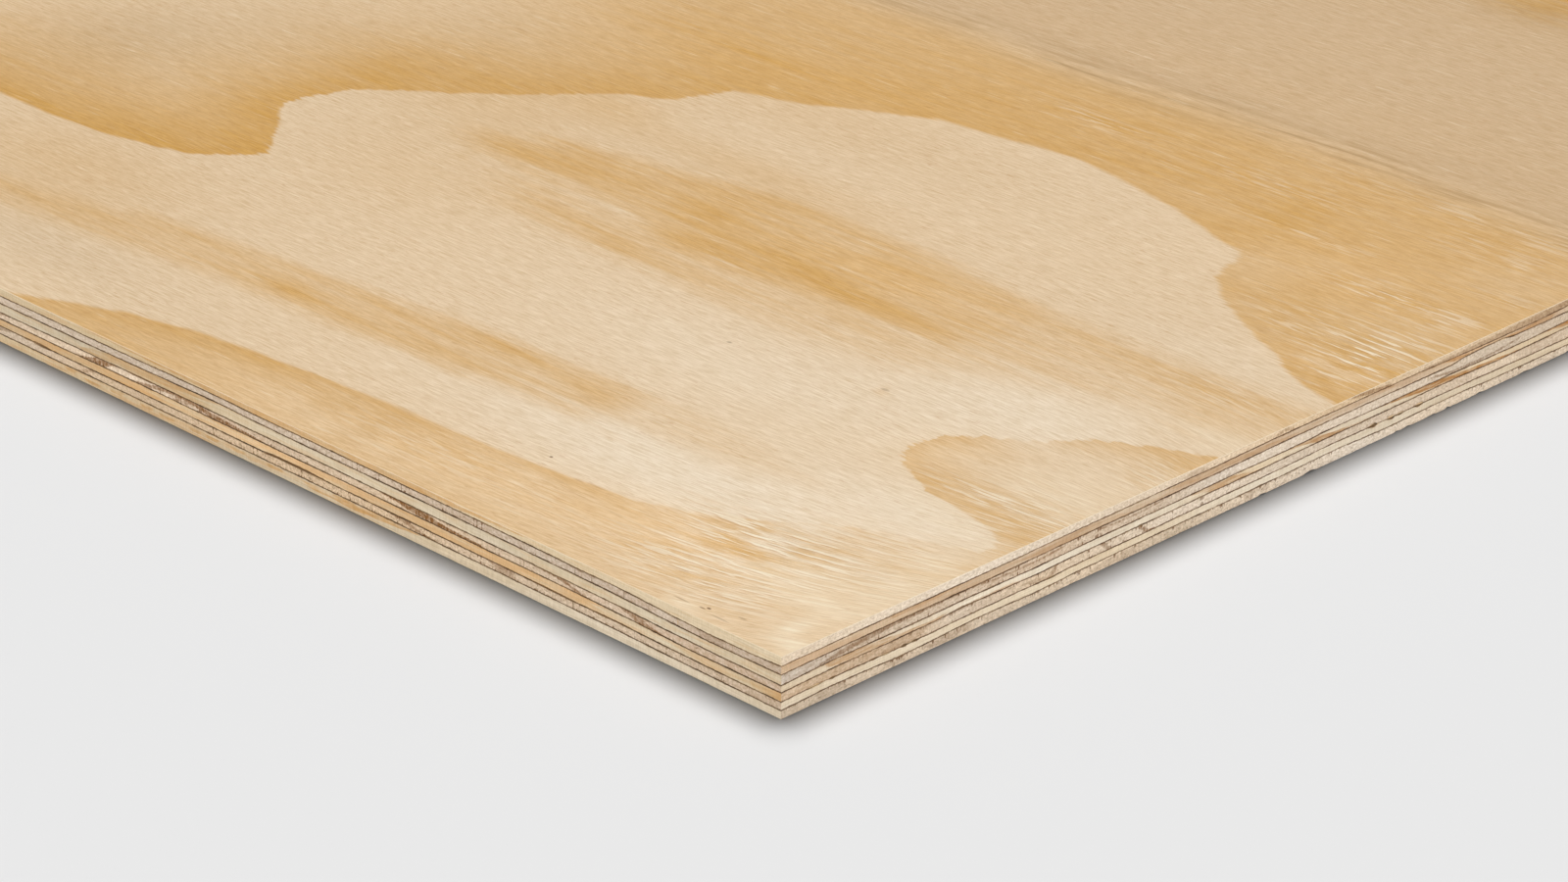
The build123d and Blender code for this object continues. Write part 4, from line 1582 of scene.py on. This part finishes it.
def sawn_fibres(net, given):
    """Fibres and saw marks of sawn side grain, which runs along the edge."""
    place = given["Place"]
    return {
        "Fine": net.noise(place, (0.12, 2.6, 1.0), 3.0, 0.6),
        "Broad": net.noise(place, (0.05, 0.75, 1.0), 4.0, 0.62),
        "Saw Marks": net.noise(place, (1.7, 0.3, 1.0), 2.0, 0.6),
    }


def late_wood(net, given, ragged):
    """How far a spot lies in a band of late wood, with a slightly ragged boundary."""
    uneven = net.noise(given["Place"], ragged, 3.0, 0.6)
    inside = net.step(net.plus(given["Depth"], net.swing(uneven, 2.6)), -0.7, 0.5)
    streaky = net.step(uneven, 0.34, 0.62, 0.55, 1.15)
    strong = net.math("MAXIMUM", given["Strength"], 0.0)
    faint = net.math("MAXIMUM", net.times(given["Strength"], -1.0), 0.0)
    return {"Dense": net.times(net.times(inside, streaky), strong), "Pale": net.times(inside, faint)}


def glue_stain(net, given):
    """Resin soaked into the wood beside a glue line, and the open cells filled from it."""
    uneven = net.noise(given["Place"], (0.45, 0.0, 1.0), 4.0, 0.7)
    soaked = net.step(net.plus(given["Distance"], net.swing(uneven, 0.95)), 0.0, 0.2, 1.0, 0.0)
    ticks = net.noise(given["Place"], (1.5, 0.2, 1.0))
    patchy = net.noise(given["Place"], (0.16, 0.0, 2.0))
    height = net.step(net.times(net.plus(patchy, 0.5), ticks), 0.53, 0.74, 0.0, 1.2)
    filled = net.step(net.minus(given["Distance"], height), -0.3, 0.0, 1.0, 0.0)
    return {"Stain": net.math("MAXIMUM", soaked, net.times(filled, given["Ticks"]))}


# Effects that materials share: what fills each, its inputs, where None is a vector, and its outputs
MARK_INPUTS = {"Place": None, "Depth": NO_MARK_DEPTH, "Strength": NO_MARK_STRENGTH}
EFFECTS = {
    "Face Fibres": (
        face_fibres, {"Place": None, "Shift": 0.0, "Raised": 0.0},
        ("Fine", "Broad", "Dark Threads", "Bright Threads", "Pores", "Crest", "Trough", "Veins", "Relief")),
    "Growth Figure": (growth_figure, {"Place": None, "Phase": 0.3, "Slope": None}, ("Amber",)),
    "Sawn Speckle": (
        sawn_speckle, {"Place": None, "Splits": 0.2}, ("Pores", "Blotches", "Upright", "Splits")),
    "Sawn Fibres": (sawn_fibres, {"Place": None}, ("Fine", "Broad", "Saw Marks")),
    "Late Wood End Grain": (
        lambda *given: late_wood(*given, END_GRAIN_RAGGED), MARK_INPUTS, ("Dense", "Pale")),
    "Late Wood Side Grain": (
        lambda *given: late_wood(*given, SIDE_GRAIN_RAGGED), MARK_INPUTS, ("Dense", "Pale")),
    "Glue Stain": (glue_stain, {"Place": None, "Distance": 3.0, "Ticks": 0.0}, ("Stain",)),
}


def effect_group(name):
    if name in bpy.data.node_groups:
        return bpy.data.node_groups[name]
    fill, inputs, outputs = EFFECTS[name]
    group = bpy.data.node_groups.new(name, "ShaderNodeTree")
    for label, default in inputs.items():
        kind = "NodeSocketVector" if default is None else "NodeSocketFloat"
        socket = group.interface.new_socket(name=label, in_out="INPUT", socket_type=kind)
        if default is not None:
            socket.default_value = default
    for label in outputs:
        group.interface.new_socket(name=label, in_out="OUTPUT", socket_type="NodeSocketFloat")
    net = Net(group)
    entry = group.nodes.new("NodeGroupInput")
    leave = group.nodes.new("NodeGroupOutput")
    for label, value in fill(net, entry.outputs).items():
        net.feed(leave.inputs[label], value)
    return group


def use(net, effect, **inputs):
    """Puts an effect's group into a material, and gives its outputs."""
    node = net.tree.nodes.new("ShaderNodeGroup")
    node.node_tree = effect_group(effect)
    node.label = effect
    node.location = (net.column * NODE_SPACING, -300)
    net.column += 1
    for label, value in inputs.items():
        net.feed(node.inputs[label], value)
    return node.outputs


def new_material(name, finish):
    material = bpy.data.materials.new(name)
    material.use_nodes = True
    tree = material.node_tree
    tree.nodes.clear()
    shader = tree.nodes.new("ShaderNodeBsdfPrincipled")
    shader.location = (3000, 200)
    for label, value in zip(("Roughness", "Specular IOR Level"), finish):
        shader.inputs[label].default_value = value
    output = tree.nodes.new("ShaderNodeOutputMaterial")
    output.location = (3300, 200)
    tree.links.new(shader.outputs[0], output.inputs[0])
    return material, Net(tree), shader


def in_millimetres(net):
    return net.vector("SCALE", net.add("TexCoord").outputs["Object"], 1 / MM)


def dark_specks(net, place, specks):
    """Small dark spots at given runs from the corner, each with its reaches and strength."""
    total = 0.0
    for run_x, run_y, reach_x, reach_y, strength in specks:
        away = net.vector("ADD", place, (run_x - LENGTH / 2, WIDTH / 2 - run_y, -THICKNESS))
        away = net.vector("MULTIPLY", away, (1 / reach_x, 1 / reach_y, 0.0))
        away = net.add("VectorMath", {0: away}, operation="LENGTH").outputs["Value"]
        total = net.plus(net.step(away, 0.4, 1.3, strength, 0.0), total)
    return total


def amber_shares(net, grain, figure, warm, strength, raised, base):
    """Late wood's share, and the whole share of amber with warm patches and warm early wood."""
    uneven = net.minus(grain["Broad"], 0.5)
    late = net.times(figure["Amber"], strength)
    edge = net.times(net.times(warm, net.minus(0.8, warm)), uneven)
    soft = net.plus(warm, net.times(edge, 5.0))
    total = net.plus(late, net.math("MAXIMUM", soft, 0.0))
    total = net.plus(total, net.times(uneven, net.plus(0.1, net.times(total, 0.6))), True)
    total = net.plus(total, net.times(net.times(grain["Veins"], raised), VEIN_SHARE), True)
    without = net.times(net.minus(1.0, total), net.minus(1.0, base))
    return late, net.minus(1.0, without, True)


def surface_material(name, colours, contrast, specks=()):
    """A peeled veneer face, with amber figure, streaks, threads, pores and raised fibres, whose crests
    carry painted highlights and painted shade beside them.
    """
    material, net, shader = new_material(name, PEELED_FINISH)
    place = in_millimetres(net)
    _, phase, warm, strength = net.attribute("figure")
    slope, _, _, shift = net.attribute("figure_slope")
    _, pink, streaks, worn = net.attribute("figure_tone")
    _, raised, base, lightness = net.attribute("figure_wear_and_light")
    grain = use(net, "Face Fibres", Place=place, Shift=shift, Raised=raised)
    figure = use(net, "Growth Figure", Place=place, Phase=phase, Slope=slope)
    late, amber = amber_shares(net, grain, figure, warm, strength, raised, base)
    wood = net.blend(amber, net.blend(pink, colours.pale, colours.pinkish), colours.amber)
    fine = net.step(grain["Fine"], 0.28, 0.72, -contrast, contrast)
    # Lighter or darker by the face's tone and by painted light
    wood = net.tinted(net.lighter(wood, lightness), PEELED_TINT, fine)
    dusky = net.times(streaks, net.step(grain["Broad"], 0.42, 0.68))
    # Rubbed white wood, made brighter still on the painted crest highlights
    rubbed_and_highlit = net.plus(0.5, net.times(grain["Crest"], 0.5))
    marks = [
        (net.times(dusky, DUSKY_SHARE), colours.dusky),
        (net.times(grain["Dark Threads"], DARK_THREAD_SHARE), colours.streak_and_trough_shade),
        (net.times(grain["Bright Threads"], BRIGHT_THREAD_SHARE), colours.worn),
        (net.times(grain["Pores"], PORE_SHARE), colours.streak_and_trough_shade),
        # Painted shade in the trough beside each raised fibre
        (net.times(net.times(grain["Trough"], raised), TROUGH_SHADE_SHARE, True), colours.streak_and_trough_shade),
        # Painted highlight on the crests of raised fibres
        (net.times(net.times(grain["Crest"], raised), CREST_HIGHLIGHT_SHARE, True), colours.worn),
        (net.times(worn, rubbed_and_highlit, True), colours.worn),
    ]
    if specks:
        marks.append((dark_specks(net, place, specks), colours.stain))
    for share, colour in marks:
        wood = net.blend(share, wood, colour)
    net.feed(shader.inputs["Base Color"], wood)
    bump = net.add("Bump", {"Strength": 1.0, "Distance": MM, "Height": grain["Relief"]})
    net.feed(shader.inputs["Normal"], bump.outputs[0])
    sheen = net.step(late, 0.0, 1.0, EARLY_WOOD_ROUGHNESS, LATE_WOOD_ROUGHNESS)
    net.feed(shader.inputs["Roughness"], sheen)
    return material


def end_grain_parts(net, place, tone, splits):
    """Tone, light and dark, relief and checks of sawn end grain."""
    grain = use(net, "Sawn Speckle", Place=place, Splits=splits)
    varied = net.plus(tone, net.step(grain["Blotches"], 0.3, 0.7, -0.3, 0.3))
    grit = net.step(grain["Pores"], 0.3, 0.7, 0.18, -0.21)
    comb = net.step(grain["Upright"], 0.3, 0.7, 0.07, -0.08)
    height = net.minus(net.times(grain["Pores"], 0.8), grain["Splits"])
    return varied, net.plus(grit, comb), height, grain["Splits"]


def side_grain_parts(net, place, tone):
    """Tone, light and dark, and relief of sawn side grain, which has no checks."""
    grain = use(net, "Sawn Fibres", Place=place)
    varied = net.plus(tone, net.step(grain["Broad"], 0.3, 0.7, -0.42, 0.42))
    fine = net.step(grain["Fine"], 0.3, 0.7, 0.09, -0.1)
    comb = net.step(grain["Saw Marks"], 0.3, 0.7, 0.07, -0.07)
    height = net.plus(net.times(grain["Saw Marks"], 0.6), net.times(grain["Fine"], 0.5))
    return varied, net.plus(fine, comb), height, None


def edge_material(name, colours, end_grain, palette):
    """A sawn edge in a palette of light, usual, deep and late wood."""
    material, net, shader = new_material(name, SAWN_FINISH)
    place = net.attribute("run")[0]
    _, grey, lighter, _ = net.attribute("cast")
    _, depth, strength, tone = net.attribute("ring")
    _, to_glue, splits, to_arris = net.attribute("layer")
    if end_grain:
        varied, contrast, height, checks = end_grain_parts(net, place, tone, splits)
        ticks = net.times(splits, 2.2, True)
        late = use(net, "Late Wood End Grain", Place=place, Depth=depth, Strength=strength)
    else:
        varied, contrast, height, checks = side_grain_parts(net, place, tone)
        ticks = 0.0
        late = use(net, "Late Wood Side Grain", Place=place, Depth=depth, Strength=strength)
    stain = use(net, "Glue Stain", Place=place, Distance=to_glue, Ticks=ticks)["Stain"]
    parts = ("light", "mid", "deep", "dense")
    light, mid, deep, dense = [getattr(colours, f"{palette}_{part}") for part in parts]
    wood = net.blend(net.plus(varied, 1.0, True), light, mid)
    wood = net.blend(net.times(varied, 1.0, True), wood, deep)
    wood = net.blend(net.math("MINIMUM", late["Dense"], 1.0), wood, dense)
    wood = net.blend(late["Pale"], wood, light)
    wood = net.tinted(wood, SAWN_TINT, contrast)
    # The cast's second value lightens or darkens the wood by its tone and by painted light and shade
    wood = net.lighter(net.tinted(wood, CAST_TINT, grey), lighter)
    if checks is not None:
        wood = net.blend(net.times(checks, CHECK_SHARE), wood, colours.stain)
    wood = net.blend(net.times(stain, STAIN_SHARE), wood, colours.stain)
    # Lighter within 0.3 mm of the face's arris: worn wood and a painted highlight
    wood = net.blend(net.step(to_arris, 0.04, 0.3, 0.65, 0.0), wood, colours.worn)
    net.feed(shader.inputs["Base Color"], wood)
    bump = net.add("Bump", {"Strength": 0.5, "Distance": SAWN_RELIEF, "Height": height})
    net.feed(shader.inputs["Normal"], bump.outputs[0])
    return material


def hidden_material(name, colours):
    material, net, shader = new_material(name, INSIDE_FINISH)
    streaks = net.noise(in_millimetres(net), (0.03, 0.4, 0.4))
    net.feed(shader.inputs["Base Color"], net.blend(streaks, colours.side_mid, colours.side_deep))
    return material


def resin_material(colours):
    material, net, shader = new_material("Cured Resin", RESIN_FINISH)
    uneven = net.noise(net.attribute("run")[0], (0.7, 0.5, 1.0), 3.0, 0.6)
    factor = net.step(uneven, 0.35, 0.65, 0.65, 1.5)
    net.feed(shader.inputs["Base Color"], net.vector("SCALE", tuple(colours.resin), factor))
    return material


def veneer_materials(colours, crossband=False):
    palette = "cross" if crossband else "side"
    side = "Sawn Crossband Side Grain" if crossband else "Sawn Core Side Grain"
    makers = {
        side: lambda name: edge_material(name, colours, False, palette),
        "Sawn End Grain": lambda name: edge_material(name, colours, True, "end"),
        "Peeled Wood Inside": lambda name: hidden_material(name, colours),
    }
    return [bpy.data.materials.get(name) or make(name) for name, make in makers.items()]


# Stage

# The camera as fitted to the photograph's corner, with its focal length in pixels of that picture
CAMERA_SPOT = (1.95763, -1.35110, 0.56426)
CAMERA_YAW = math.radians(44.857)
CAMERA_PITCH = math.radians(24.925)
CAMERA_ROLL = math.radians(0.4966)
FOCAL_PIXELS = 4744.93
PICTURE_WIDTH = 1600.0
SENSOR = 36.0
NEAREST_SEEN = 0.05
FARTHEST_SEEN = 60.0

# Lamps, as (name, strength, softness, azimuth, elevation) with angles in degrees
LAMPS = (("Key", 2.62, 40.0, 135.0, 65.0), ("Fill", 3.3, 24.0, -45.0, 5.0))
LAMP_DISTANCE = 3.0
SKY_STRENGTH = 0.15

# Floor, just under the sheet, with the two shades near it that only camera rays see
FLOOR_REACH = 40.0
FLOOR_LEVEL = -0.00005
CONTACT_REACH = 0.0115
CONTACT_SHADE = (0.37, 0.395, 0.43)
BOUNCE_REACH = 0.06
BOUNCE_SHADE = (0.93, 0.945, 0.965)


def camera_axes():
    level = math.cos(CAMERA_PITCH)
    across, ahead = -math.sin(CAMERA_YAW) * level, math.cos(CAMERA_YAW) * level
    forward = np.array([across, ahead, -math.sin(CAMERA_PITCH)])
    right = np.cross(forward, (0.0, 0.0, 1.0))
    right /= np.linalg.norm(right)
    up = np.cross(right, forward)
    c, s = math.cos(CAMERA_ROLL), math.sin(CAMERA_ROLL)
    return c * right + s * up, c * up - s * right, forward


def add_camera():
    data = bpy.data.cameras.new("Camera")
    data.lens = FOCAL_PIXELS * SENSOR / PICTURE_WIDTH
    data.sensor_width = SENSOR
    data.clip_start = NEAREST_SEEN
    data.clip_end = FARTHEST_SEEN
    camera = bpy.data.objects.new("Camera", data)
    right, up, forward = camera_axes()
    rows = [(right[i], up[i], -forward[i], CAMERA_SPOT[i]) for i in range(3)]
    camera.matrix_world = Matrix((*rows, (0.0, 0.0, 0.0, 1.0)))
    bpy.context.collection.objects.link(camera)
    bpy.context.scene.camera = camera


def add_lamp(name, strength, softness, azimuth, elevation):
    """A distant soft lamp; azimuth is where it stands, counter-clockwise from +X."""
    data = bpy.data.lights.new(name, "SUN")
    data.energy = strength
    data.angle = math.radians(softness)
    lamp = bpy.data.objects.new(name, data)
    a, e = math.radians(azimuth), math.radians(elevation)
    towards = Vector((math.cos(a) * math.cos(e), math.sin(a) * math.cos(e), math.sin(e)))
    lamp.rotation_euler = towards.to_track_quat("Z", "Y").to_euler()
    lamp.location = towards * LAMP_DISTANCE
    bpy.context.collection.objects.link(lamp)


def add_floor(colours):
    """The pale floor, darker for camera rays where the sheet stands on it."""
    mesh = bpy.data.meshes.new("Floor")
    turns = ((-1, -1), (1, -1), (1, 1), (-1, 1))
    corners = [(x * FLOOR_REACH, y * FLOOR_REACH, FLOOR_LEVEL) for x, y in turns]
    mesh.from_pydata(corners, [], [(0, 1, 2, 3)])
    floor = bpy.data.objects.new("Floor", mesh)
    bpy.context.collection.objects.link(floor)
    material, net, shader = new_material("Studio Floor", FLOOR_FINISH)
    contact = net.add("AmbientOcclusion", {"Distance": CONTACT_REACH}).outputs["AO"]
    open_share = net.math("POWER", net.times(net.minus(contact, 0.5), 2.0, True), 0.5)
    around = net.add("AmbientOcclusion", {"Distance": BOUNCE_REACH}).outputs["AO"]
    near = net.blend(1.0, colours.floor, net.blend(open_share, CONTACT_SHADE, WHITE), "MULTIPLY")
    bounce = net.blend(net.step(around, 0.6, 1.0), BOUNCE_SHADE, WHITE)
    near = net.blend(1.0, near, bounce, "MULTIPLY")
    seen = net.add("LightPath").outputs["Is Camera Ray"]
    net.feed(shader.inputs["Base Color"], net.blend(seen, colours.floor, near))
    mesh.materials.append(material)


def add_sky(strength):
    world = bpy.data.worlds.new("Studio")
    world.use_nodes = True
    background = world.node_tree.nodes["Background"]
    background.inputs["Color"].default_value = (*WHITE, 1.0)
    background.inputs["Strength"].default_value = strength
    bpy.context.scene.world = world


# Operators


class PLYWOOD_OT_stage(bpy.types.Operator):
    """Adds the floor, the lamps and the camera"""

    bl_idname = "plywood.stage"
    bl_label = "Stage"

    def execute(self, context):
        add_floor(context.scene.plywood_colours)
        add_sky(SKY_STRENGTH)
        for lamp in LAMPS:
            add_lamp(*lamp)
        add_camera()
        context.scene.view_settings.view_transform = "Standard"
        return {"FINISHED"}


class PLYWOOD_OT_face(bpy.types.Operator):
    """Builds the face veneer with its growth figure"""

    bl_idname = "plywood.face"
    bl_label = "Face Veneer"

    def execute(self, context):
        colours = context.scene.plywood_colours
        side, end, inside = veneer_materials(colours)
        surface = surface_material("Sanded Face", colours, FACE_CONTRAST, DARK_SPECKS)
        build_face_veneer(context.scene.plywood_sizes, [side, end, surface, inside])
        return {"FINISHED"}


class PLYWOOD_OT_crossbands(bpy.types.Operator):
    """Builds the sheets of the three crossbands"""

    bl_idname = "plywood.crossbands"
    bl_label = "Crossbands"

    def execute(self, context):
        side, end, inside = veneer_materials(context.scene.plywood_colours, True)
        materials = [side, end, inside, inside]
        for band, ply in (("upper", 2), ("centre", 4), ("lower", 6)):
            for number in (1, 2, 3):
                node = f"{band}_crossband_sheet_{number}"
                low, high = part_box(node)
                start = max(round(LENGTH / 2 - high[0] / MM, 3), 0.0)
                finish = min(round(LENGTH / 2 - low[0] / MM, 3), LENGTH)
                build_inner_veneer(
                    node, ply, context.scene.plywood_sizes, materials, start, finish)
        return {"FINISHED"}


class PLYWOOD_OT_cores(bpy.types.Operator):
    """Builds the two long-grain core veneers"""

    bl_idname = "plywood.cores"
    bl_label = "Core Veneers"

    def execute(self, context):
        side, end, inside = veneer_materials(context.scene.plywood_colours)
        materials = [side, end, inside, inside]
        for node, ply in (("upper_core_veneer", 3), ("lower_core_veneer", 5)):
            build_inner_veneer(node, ply, context.scene.plywood_sizes, materials)
        return {"FINISHED"}


class PLYWOOD_OT_back(bpy.types.Operator):
    """Builds the back veneer"""

    bl_idname = "plywood.back"
    bl_label = "Back Veneer"

    def execute(self, context):
        colours = context.scene.plywood_colours
        side, end, inside = veneer_materials(colours)
        surface = surface_material("Unsanded Back", colours, BACK_CONTRAST)
        build_back_veneer(context.scene.plywood_sizes, [side, end, surface, inside])
        return {"FINISHED"}


class PLYWOOD_OT_glue(bpy.types.Operator):
    """Builds the six glue lines"""

    bl_idname = "plywood.glue"
    bl_label = "Glue Lines"

    def execute(self, context):
        material = resin_material(context.scene.plywood_colours)
        for line in range(1, LAST_PLY):
            build_glue_line(line, context.scene.plywood_sizes, material)
        return {"FINISHED"}


# In the order in which they run
OPERATORS = (
    PLYWOOD_OT_stage, PLYWOOD_OT_face, PLYWOOD_OT_crossbands, PLYWOOD_OT_cores, PLYWOOD_OT_back,
    PLYWOOD_OT_glue,
)


class VIEW3D_PT_plywood(bpy.types.Panel):
    """Lists the plywood sheet's pieces"""

    bl_label = "Plywood Sheet"
    bl_idname = "VIEW3D_PT_plywood"
    bl_space_type = "VIEW_3D"
    bl_region_type = "UI"
    bl_category = "Plywood"

    def draw(self, context):
        layout = self.layout
        for operator in OPERATORS:
            layout.operator(operator.bl_idname)
        for group in (context.scene.plywood_sizes, context.scene.plywood_colours):
            box = layout.box()
            for name in group.__annotations__:
                box.prop(group, name)


CLASSES = (PlywoodSizes, PlywoodColours, *OPERATORS, VIEW3D_PT_plywood)


def register():
    for cls in CLASSES:
        bpy.utils.register_class(cls)
    bpy.types.Scene.plywood_sizes = bpy.props.PointerProperty(type=PlywoodSizes)
    bpy.types.Scene.plywood_colours = bpy.props.PointerProperty(type=PlywoodColours)


def unregister():
    del bpy.types.Scene.plywood_sizes
    del bpy.types.Scene.plywood_colours
    for cls in reversed(CLASSES):
        bpy.utils.unregister_class(cls)


def main():
    """Registers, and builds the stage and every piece."""
    register()
    for operator in OPERATORS:
        space, name = operator.bl_idname.split(".")
        getattr(getattr(bpy.ops, space), name)()


if __name__ == "__main__":
    main()
